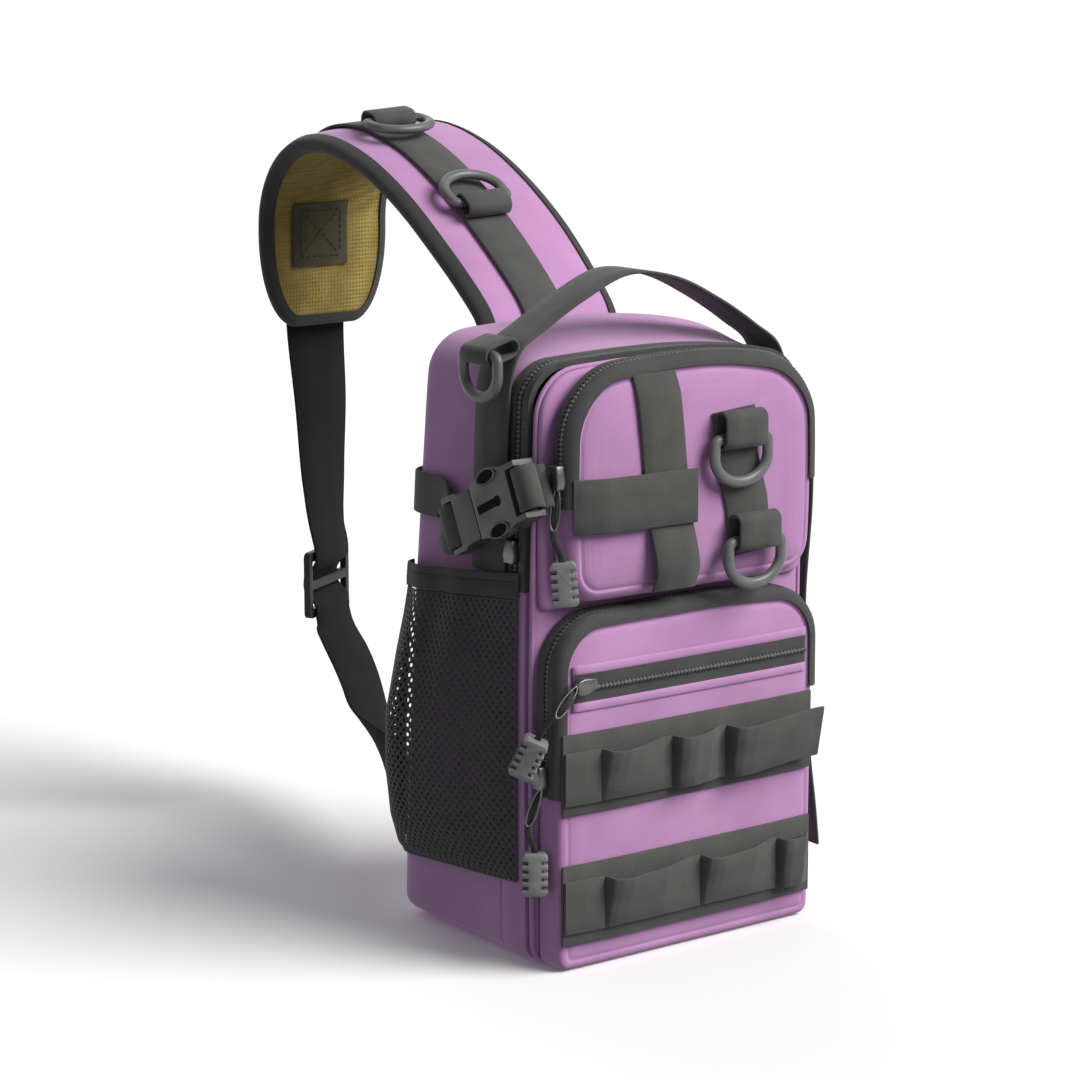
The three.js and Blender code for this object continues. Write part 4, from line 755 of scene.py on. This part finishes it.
# D-rings ride on their own bodies
ringSizes = {"wire": 2.3, "flat": 1.2, "reach": 16, "corner": 3.4, "arm": 8, "bow": 12.5, "sideReach": 13,
             "sideBow": 11.5}


def ringFrame(node):
    joint = next(j for j in frame["joints"] if j["child"] == node)
    bar = Vector(joint["pos_m"])
    third = Vector(joint["axis"]).normalized()
    low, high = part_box(node)
    hang = (low + high) / 2 - bar
    first = (hang - third * hang.dot(third)).normalized()
    return bar, first, third.cross(first), third


def ringPiece(node, reach, bow):
    bar, first, second, third = ringFrame(node)
    corner, arm = ringSizes["corner"], ringSizes["arm"]
    flat = [(mix(corner - reach, reach - corner, k / 12), 0) for k in range(12)]
    flat += arc(reach - corner, corner, corner, corner, range(-90, 0, 15))
    flat += arc(0, arm, reach, bow, range(0, 181, 5))
    flat += arc(corner - reach, corner, corner, corner, range(195, 270, 15))
    points = [(bar + third * a * mm + first * b * mm, second) for a, b in flat]
    profile = [(a, o * ringSizes["flat"]) for a, o in roundProfile(ringSizes["wire"] * mm, 14)]
    sweptPiece(node + "_moulded", [points], profile, "ring_plastic", joined=True, nodes=[node], body=node)


for node in ("front_ring_high", "front_ring_low", "pad_ring_front", "pad_ring_crest"):
    ringPiece(node, ringSizes["reach"], ringSizes["bow"])
ringPiece("side_ring", ringSizes["sideReach"], ringSizes["sideBow"])

ringWeb = {"rows": [(250, 18.5, 0), (226, 20.5, 0), (206, 26.5, 0), (182, 29, 0)]}
ringRuns = [frontStrip(ringWeb["rows"], 3, right, dropWeb["strip"])]
for node in ("front_ring_high", "front_ring_low"):
    ringRuns.append(foldRun(ringFrame(node)[0], down, forward))
webPiece("ring_webbing", "ring_web", narrowWeb, *ringRuns)
sideBar = ringFrame("side_ring")[0]
sideAlong = Vector((-12, 0, -3.5)).normalized()
sideUp = Vector((-3.5, 0, 12)).normalized()
sideFold = foldRun(sideBar, sideAlong, sideUp, loopSizes["sideLength"])  # its end is sewn under the handle
webPiece("side_tab_webbing", "side_ring_tab", slimWeb, sideFold)
print("ladders, webbing and rings made")

handle = {"y": 51, "run": [
    (-83.3, 178), (-83.3, 215), (-83, 250), (-81.5, 268), (-76.5, 280.5), (-62, 290), (-40, 302),
    (-15, 311.5), (10, 308.5), (40, 295.5), (62.5, 282), (77, 271.5), (81.7, 261), (83, 250), (83.3, 215),
    (83.3, 178)]}
handleRun = strapRun([place(x, handle["y"], z) for x, z in handle["run"]], backward)
webPiece("handle_webbing", "carry_web", narrowWeb, handleRun)


# net pocket on the left side: a slack wall in folds, with an elastic hem
def sideReach(y, z):
    inset = rowAt(mainBody["corner"], y)[1]
    swell = sin(pi * min(max(z / bagLayout["height"], 0), 1))
    return (mainForm["half"] - inset) * (1 + mainForm["puff"] / mainForm["half"] * swell)


# rows are (height, bulge, fold)
netPocket = {
    "front": 26, "back": 123, "rise": 7, "folds": 3, "pitch": 3.3, "bar": 1.0, "thread": 0.6, "off": 0.9,
    "wide": 112, "high": 134.5, "hemLow": 161.8, "hemHigh": 173.5, "hemSteps": 60,
    "rows": [(27, 0.2, 0), (34, 9, 0), (50, 17, 0.3), (74, 22, 0.7), (102, 23, 1), (130, 17, 1.3),
             (150, 11, 1.2), (161.5, 8, 0.8)],
}


def netPoint(share, z, off):
    rows = netPocket["rows"]
    _, bulge, fold = rowAt(rows, min(max(z, rows[0][0]), rows[-1][0]))
    y = mix(netPocket["front"], netPocket["back"], share)
    swell = max(sin(pi * share ** 2), 0) ** 0.5
    ripple = fold * sin(2 * pi * netPocket["folds"] * share) * swell
    stand = gap + bulge * swell + ripple + off
    return place(-sideReach(y, z) - stand, y, z + netPocket["rise"] * (1 - share))


netWide, netHigh = netPocket["wide"], netPocket["high"]
netSpan = sqrt(netWide ** 2 + netHigh ** 2)
cells = round(netSpan / netPocket["pitch"])
bm = bmesh.new()
bmesh.ops.create_grid(bm, x_segments=cells, y_segments=cells, size=netSpan / 2)
bmesh.ops.rotate(bm, verts=bm.verts[:], cent=(0, 0, 0), matrix=Matrix.Rotation(pi / 4, 3, "Z"))
for normal, reach in (((1, 0, 0), netWide / 2), ((-1, 0, 0), netWide / 2), ((0, 1, 0), netHigh / 2),
                      ((0, -1, 0), netHigh / 2)):
    bmesh.ops.bisect_plane(bm, geom=bm.verts[:] + bm.edges[:] + bm.faces[:], plane_co=Vector(normal) * reach,
                           plane_no=normal, clear_outer=True)
holes = [f for f in bm.faces if f.calc_area() > netPocket["pitch"] ** 2 * 0.9]
bmesh.ops.inset_individual(bm, faces=holes, thickness=netPocket["bar"])
bmesh.ops.delete(bm, geom=holes, context="FACES")
for vert in bm.verts:
    share = min(max(vert.co.x / netWide + 0.5, 0), 1)
    z = netPocket["rows"][0][0] + min(max(vert.co.y / netHigh + 0.5, 0), 1) * netHigh
    vert.co = netPoint(share, z, netPocket["off"])
net = finishPiece(bm, "net_pocket_mesh", "net", nodes=["mesh_pocket"])
addModifier(net, "SOLIDIFY", thickness=netPocket["thread"] * mm, offset=0)
soften(net)
hemLow, hemHigh = netPocket["hemLow"], netPocket["hemHigh"]
hemProfile = [(hemLow, 0.9), (hemLow + 0.5, 0.1), (hemHigh - 0.7, 0.1), (hemHigh, 0.9), (hemHigh - 0.4, 1.9),
              (mix(hemLow, hemHigh, 0.72), 2.1), (mix(hemLow, hemHigh, 0.68), 1.7),
              (mix(hemLow, hemHigh, 0.64), 2.1), (mix(hemLow, hemHigh, 0.3), 2.2), (hemLow + 0.5, 2.0)]
hemShares = [k / netPocket["hemSteps"] for k in range(netPocket["hemSteps"] + 1)]
hem = loftPiece("net_pocket_hem", [[netPoint(s, z, off) for z, off in hemProfile] for s in hemShares],
                "binding", nodes=["mesh_hem"], sharp=50)
print("net pocket made")

# side release buckle and its straps
buckle = {"place": (-91.5, 31, 210.5), "tilt": 25, "bar": 29, "fold": 1.5, "rearFold": 5.5, "frontFold": 4.7,
          "socketEdge": 0.8, "plugEdge": 0.7}
copyNode("buckle_socket", "buckle_socket_moulded", "buckle_plastic", buckle["socketEdge"])
copyNode("buckle_plug", "buckle_plug_moulded", "buckle_plastic", buckle["plugEdge"])
tilt = radians(buckle["tilt"])
buckleAlong = Vector((0, -cos(tilt), sin(tilt)))
buckleAcross = outLeft.cross(buckleAlong)
backUp = Vector((0, -backSlope, 1)).normalized()


def onBuckle(along, out=0, across=0):
    point = spot(*buckle["place"]) + buckleAlong * along * mm
    return point + outLeft * out * mm + buckleAcross * across * mm


# oval windows with a raised rim on the socket's face, drawn as rings of (size, height); inside each rim lies
# a near-black oval of painted shade
windows = {"along": 8.5, "across": 12.6, "long": 7.4, "wide": 3.1, "face": 5.5, "parts": {
    "rim": ("buckle_plastic", [(1.14, -5), (1.14, 0.3), (1.04, 0.7), (0.92, 0.6), (0.86, 0.05)]),
    "hollow": ("buckle_painted_shade", [(0.9, 0.12), (0.6, 0.1), (0.3, 0.08)])}}
windowTurns = [360 * k / 32 for k in range(32)]
for side, across in (("upper", windows["across"]), ("lower", -windows["across"])):
    for part, (finishName, rings) in windows["parts"].items():
        shapes = []
        for size, height in rings:
            oval = arc(windows["along"], across, windows["long"] * size, windows["wide"] * size, windowTurns)
            shapes.append([onBuckle(a, windows["face"] + height, o) for a, o in oval])
        loftPiece("buckle_%s_window_%s" % (side, part), shapes, finishName, slot="buckle_plastic", sharp=60)
# the slot in the socket's face ends in a round hole; it is a near-black shape of painted shade
keyhole = {"from": -3.4, "to": 12.6, "half": 1.9, "round": 2.5, "face": 5.62, "neck": 1.6, "deep": 0.4}
shape = [(keyhole["from"], -keyhole["half"]), (keyhole["to"] - keyhole["neck"], -keyhole["half"])]
shape += arc(keyhole["to"], 0, keyhole["round"], keyhole["round"], range(-130, 131, 20))
shape += [(a, -o) for a, o in reversed(shape[:2])]
slotRings = [[onBuckle(a, keyhole["face"] + h, o) for a, o in shape] for h in (-keyhole["deep"], 0)]
loftPiece("buckle_keyhole", slotRings, "buckle_painted_shade", slot="buckle_plastic", sharp=60)

# (x, depth) round the bag's corners, then (along, out) on the buckle
sideStraps = {
    "z": 207, "innerX": -0.081,
    "rear": [(-40, 130.5), (-68.5, 130.4), (-76.4, 128.6), (-80.8, 123.8), (-83, 116.2), (-83.6, 104),
             (-84.6, 92)],
    "rearBuckle": [(-44.6, -3.7), (-36.6, -3.7), (-31, -3.7)],
    "frontBuckle": [(29, -5.2), (30.5, -6.4), (31.4, -9)],
    "right": [(40, 130.5), (68.5, 130.4), (76.4, 128.6), (80.8, 123.8), (83, 116.2), (83, 76), (86.1, 68),
              (86.1, 38), (83.3, 30), (83.3, 24)],
    "tailY": 30, "tail": [(214, 88.4), (196, 88.4), (150, 86), (110, 87.5), (70, 92), (40, 97), (22, 99.5)],
}
rearKnots = [place(x, y, sideStraps["z"]) for x, y in sideStraps["rear"]]
rearKnots += [onBuckle(a, o) for a, o in sideStraps["rearBuckle"]]
rearFold = foldRun(onBuckle(-buckle["bar"]), buckleAlong, outLeft, buckle["fold"], buckle["rearFold"])
webPiece("side_strap_rear_webbing", "side_strap_rear", slimWeb, strapRun(rearKnots, backUp), rearFold)
frontKnots = [onBuckle(a, o) for a, o in sideStraps["frontBuckle"]]
frontKnots.append(Vector((sideStraps["innerX"], frontKnots[-1].y, frontKnots[-1].z)))
frontFold = foldRun(onBuckle(buckle["bar"]), -buckleAlong, outLeft, buckle["fold"], buckle["frontFold"])
frontRun = strapRun(frontKnots, buckleAcross, 2)
webPiece("side_strap_front_webbing", "side_strap_front", slimWeb, frontRun, frontFold)
rightKnots = [place(x, y, sideStraps["z"]) for x, y in sideStraps["right"]]
webPiece("right_strap_webbing", "right_strap", slimWeb, strapRun(rightKnots, backUp))
tailKnots = [place(x, sideStraps["tailY"], z) for z, x in sideStraps["tail"]]
webPiece("right_tail_webbing", "right_tail", slimWeb, strapRun(tailKnots, backward, 4))
print("buckle and side straps made")

# shoulder pad: bends of (length, turn, steps) from the back panel over the shoulder to the tip
pad = {
    "x": 4, "startZ": 238, "half": 40, "thick": 9, "lining": 1.5, "tipHalf": 18, "tipLength": 48,
    "slope": 0.07, "slopeFrom": 40, "slopeTo": 110, "thinEdge": 1.8, "webFrom": 44, "webTo": 250,
    "webAside": -6, "rings": (("pad_ring_front", 114, 1), ("pad_ring_crest", 196, -1)),
    "bends": [(0, 0, 1), (27, 0, 6), (26, -51, 18), (60, -9, 9), (45, -10, 9), (40, -14, 9), (28, -17, 9),
              (75, -83.8, 27), (52, 0, 21)],
    "topAsides": [-1, -0.97, -0.9, -0.75, -0.5, -0.25, 0, 0.25, 0.5, 0.75, 0.9, 0.97, 1],
    "underAsides": [0.98, 0.85, 0.6, 0.2, -0.2, -0.6, -0.85, -0.98],
}
padStations = []
heading = 90 + degrees(atan(backSlope))
here = place(pad["x"], bagLayout["baseDepth"], pad["startZ"])
here.y += (gap + pad["thick"] / 2 + 0.2) * mm
padLength = 0
for run, turn, steps in pad["bends"]:
    for _ in range(steps):
        heading += turn / steps / 2
        here += Vector((0, cos(radians(heading)), sin(radians(heading)))) * (run / steps) * mm
        heading += turn / steps / 2
        padLength += run / steps
        along = Vector((0, cos(radians(heading)), sin(radians(heading))))
        slope = pad["slope"] * ease(padLength, pad["slopeFrom"], pad["slopeTo"])
        out = Vector((-slope, -along.z, along.y)).normalized()
        padStations.append((padLength, here.copy(), along, out))


def padFrame(length):
    _, middle, along, out = rowAt(padStations, length)
    return middle, along.normalized(), out.normalized()


def onPad(length, aside, height):
    middle, along, out = padFrame(length)
    return middle + along.cross(out) * aside * mm + out * height * mm


def padStation(length, aside, height):
    middle, along, out = padFrame(length)
    return onPad(length, aside, height), along.cross(out)


def padHalf(length):
    into = max(0, length - (padLength - pad["tipLength"])) / pad["tipLength"]
    return pad["tipHalf"] + (pad["half"] - pad["tipHalf"]) * sqrt(max(0, 1 - into ** 2))


def edgeShare(aside, length):  # 1 at the bound edge, at the sides and at the tip
    return max(abs(aside), (length - padLength) / pad["tipLength"] + 1)


def edgeLift(aside, length):  # the pad thins towards its edge
    return pad["thinEdge"] * edgeShare(aside, length) ** 6


padStarts = [k * 5 for k in range(int((padLength - pad["tipLength"]) / 5) + 1)]
padLengths = padStarts + [padLength - pad["tipLength"] * (1 - sin(radians(a))) for a in range(6, 91, 7)]
padFace = pad["thick"] / 2
liningLow = -padFace - gap - pad["lining"]
padRings = []
for length in padLengths:
    half = padHalf(length) - 0.3
    ring = [onPad(length, a * half, padFace * (0.97 - 0.75 * edgeShare(a, length) ** 5))
            for a in pad["topAsides"]]
    ring += [onPad(length, a * half, -padFace + 0.15 + edgeLift(a, length)) for a in pad["underAsides"]]
    padRings.append(ring)
bm = bmesh.new()
loft(bm, padRings)
wrinkle(bm, 0.5, 30, 4.0)
padPiece = finishPiece(bm, "shoulder_pad_cloth", "purple_cloth", nodes=["shoulder_pad"])
soften(padPiece)

lining = {"creaseAt": 266, "creaseDeep": 1.2, "creaseWide": 2.6, "creaseSlant": 0.16, "puff": 0.5,
          "lowAsides": (-1, -0.9, -0.8, -0.6, -0.4, -0.2, 0, 0.2, 0.4, 0.6, 0.8, 0.9, 1),
          "highAsides": (1, 0.9, 0.75, 0.5, 0, -0.5, -0.75, -0.9, -1)}
liningRings = []
for length in padLengths:
    half = padHalf(length) - 0.4
    ring = []
    for a in lining["lowAsides"]:
        away = (length - lining["creaseAt"] - lining["creaseSlant"] * a * half) / lining["creaseWide"]
        dent = lining["creaseDeep"] * 2.718 ** (-away * away)
        puff = lining["puff"] * noise.noise(Vector((length / 16, a * 3, 5)))
        height = liningLow + edgeLift(a, length) + dent * (1 - abs(a) ** 4) + max(puff, 0)
        ring.append(onPad(length, a * half, height))
    ring += [onPad(length, a * half, -padFace - gap + edgeLift(a, length)) for a in lining["highAsides"]]
    liningRings.append(ring)
liningPiece = loftPiece("pad_lining_mesh", liningRings, "lining", nodes=["pad_lining"])
soften(liningPiece)

# binding: a folded tape over the edge, down one side, round the tip and up the other
binding = {"profile": [
    (-5.2, 2.5), (-5.2, 3.1), (-3.6, 2.7), (-1.6, 1.9), (0.2, 0.9), (1.1, -0.4), (1.4, -1.9), (1.2, -3.4),
    (0.3, -4.7), (-1.6, -5.5), (-4.8, -6.5), (-5.0, -5.9), (-1.8, -4.9), (-0.2, -4.1), (0.4, -2.9),
    (0.4, -1.4), (-0.6, 0.2), (-2.4, 1.4)]}
edgeRun = [(length, -padHalf(length), 0, -1) for length in padStarts]
for turn in range(6, 91, 6):
    bow, wane = sin(radians(turn)), cos(radians(turn))
    edgeRun.append((padLength - pad["tipLength"] * (1 - bow),
                    -(pad["tipHalf"] + (pad["half"] - pad["tipHalf"]) * wane), bow, -wane))
edgeRun += [(padLength, mix(-pad["tipHalf"], 0, k / 4), 1, 0) for k in range(1, 4)]
edgeRun += [(padLength, 0, 1, 0)] + [(s, -a, n, -m) for s, a, n, m in reversed(edgeRun)]
edgeRings = [[onPad(s + n * grow, a + m * grow, height) for grow, height in binding["profile"]]
             for s, a, n, m in edgeRun]
loftPiece("pad_edge_binding", edgeRings, "binding", nodes=["pad_binding"], sharp=60)

padWebHeight = padFace + gap + webThick / 2
webLengths = [mix(pad["webFrom"], pad["webTo"], k / 68) for k in range(69)]
padRuns = [[padStation(s, pad["webAside"], padWebHeight) for s in webLengths]]
for node, at, sense in pad["rings"]:
    middle, along, out = padFrame(at)
    padRuns.append(foldRun(ringFrame(node)[0], along * sense, out, loopSizes["padLength"]))
webPiece("pad_webbing", "pad_web", narrowWeb, *padRuns)

patch = {"size": 36, "middle": 304, "aside": -6, "thick": 1.2, "sewn": 13, "stitchOff": 0.05}
patchHeight = liningLow - gap - patch["thick"] / 2
patchLengths = [patch["middle"] + (k / 8 - 0.5) * patch["size"] for k in range(9)]
patchRun = [padStation(s, patch["aside"], patchHeight) for s in patchLengths]
webPiece("pad_patch_web", "pad_patch", patch["size"], patchRun, finishName="patch", thick=patch["thick"],
         slot="grey_webbing")
print("shoulder pad made")

# shoulder webbing from the tip of the pad down through its slider to the tab on the bag's lower corner
sling = {
    "slider": (4, 315, 119), "turn": 30, "onPad": (46, 34, 20, 10, 0), "off": 0.2,
    "free": [((4, 318.6, 215), 0.4), ((4, 317, 175), 0.7)],
    "weave": [(-28, -1), (-18, -3.2), (-12.4, -3.2), (-3.4, 3.6), (3.4, 3.6), (12.4, -3.4), (18.5, -3.6),
              (26, -5.2)],
    "tab": (-62, 130), "reach": 42, "sewn": 41, "sewnTo": 6, "rise": 6, "thick": 3, "steps": 40,
    "leave": (2, -30, -30), "arrive": 46, "sliderEdge": 0.9, "tabEdge": 0.9,
}
turned = radians(sling["turn"])
sliderAcross = Vector((cos(turned), sin(turned), 0))
sliderOut = Vector((-sin(turned), cos(turned), 0))
sliderPlace = spot(*sling["slider"])
tabFoot = spot(*sling["tab"], 0)
tabRun = sliderPlace - tabFoot
tabRun.z = 0
tabRun.normalize()
tabFace = Vector((-tabRun.y, tabRun.x, 0))
strapHeight = padFace + gap + sling["off"] + webThick / 2
slingRun = [padStation(padLength - back, 0, strapHeight) for back in sling["onPad"]]
slingRun += [(spot(*p), right.lerp(sliderAcross, share)) for p, share in sling["free"]]
slingRun += [(sliderPlace + down * a * mm + sliderOut * o * mm, sliderAcross) for a, o in sling["weave"]]
slingRun = smoothRun(slingRun, 3 * mm)
bendFrom = len(slingRun) - 4
sewnFace = tabFace * (sling["thick"] / 2 + gap + webThick / 2) * mm
sewnEnd = tabFoot + up * sling["sewn"] * mm + tabRun * sling["sewnTo"] * mm + sewnFace
sewnStart = tabFoot + up * (sling["sewn"] + sling["rise"]) * mm + tabRun * sling["reach"] * mm + sewnFace
leave = slingRun[-1][0]
handles = (leave, leave + Vector(sling["leave"]) * mm, sewnStart + tabRun * sling["arrive"] * mm, sewnStart)
runAlong = (sewnStart - leave).normalized()
runSide = up.cross(runAlong).normalized()
if runSide.x < 0:
    runSide = -runSide
runAcross = (runSide + runSide.cross(runAlong)).normalized()
for k in range(1, sling["steps"] + 1):
    t = k / sling["steps"]
    weights = ((1 - t) ** 3, 3 * t * (1 - t) ** 2, 3 * t * t * (1 - t), t ** 3)
    middle = sum((h * w for h, w in zip(handles, weights)), Vector((0, 0, 0)))
    across = sliderAcross.lerp(runAcross, ease(t, 0, 0.55)).lerp(down, ease(t, 0.5, 1))
    slingRun.append((middle, across))
slingRun += [(sewnStart.lerp(sewnEnd, k / 8), down) for k in range(1, 9)]
for _ in range(3):  # the bends under the slider and at the tab are eased
    bend = eased([p for p, across in slingRun[bendFrom:]])
    slingRun[bendFrom:] = [(p, across) for p, (_, across) in zip(bend, slingRun[bendFrom:])]
webPiece("sling_webbing", "sling_web", wideWeb, slingRun, finishName="black_webbing")
copyNode("strap_slider", "strap_slider_moulded", "slider_plastic", sling["sliderEdge"],
         slot="buckle_plastic")
copyNode("strap_tab", "strap_tab_cloth", "purple_cloth", sling["tabEdge"])
print("sling made")

# sewn rows on the patch: short stitches along lines between (aside, length) corners
stitch = {"length": 2.4, "space": 1.3, "wide": 0.55, "high": 0.5, "rows": [
    ((-1, -1), (1, 1)), ((-1, 1), (1, -1)), ((-1, -1), (1, -1)), ((1, -1), (1, 1)), ((1, 1), (-1, 1)),
    ((-1, 1), (-1, -1))]}


def stitchRow(bm, points, normal):
    run = evenRun([(p, normal) for p in points], (stitch["length"] + stitch["space"]) * mm)
    for (a, _), (b, _) in zip(run, run[1:]):
        along = (b - a).normalized()
        side = normal.cross(along).normalized()
        basis = Matrix((along, side, normal)).transposed().to_4x4()
        size = Matrix.Diagonal((stitch["length"] * mm, stitch["wide"] * mm, stitch["high"] * mm, 1))
        bmesh.ops.create_cube(bm, size=1, matrix=Matrix.Translation(a.lerp(b, 0.5)) @ basis @ size)


bm = bmesh.new()
patchOut = -padFrame(patch["middle"])[2]
for (a0, s0), (a1, s1) in stitch["rows"]:
    ends = []
    for k in range(9):
        aside = patch["aside"] + mix(a0, a1, k / 8) * patch["sewn"]
        length = patch["middle"] + mix(s0, s1, k / 8) * patch["sewn"]
        ends.append(onPad(length, aside, liningLow - gap - patch["thick"] - patch["stitchOff"]))
    stitchRow(bm, ends, patchOut)
finishPiece(bm, "patch_stitches", "thread", slot="pull_cord")
print("stitches sewn")
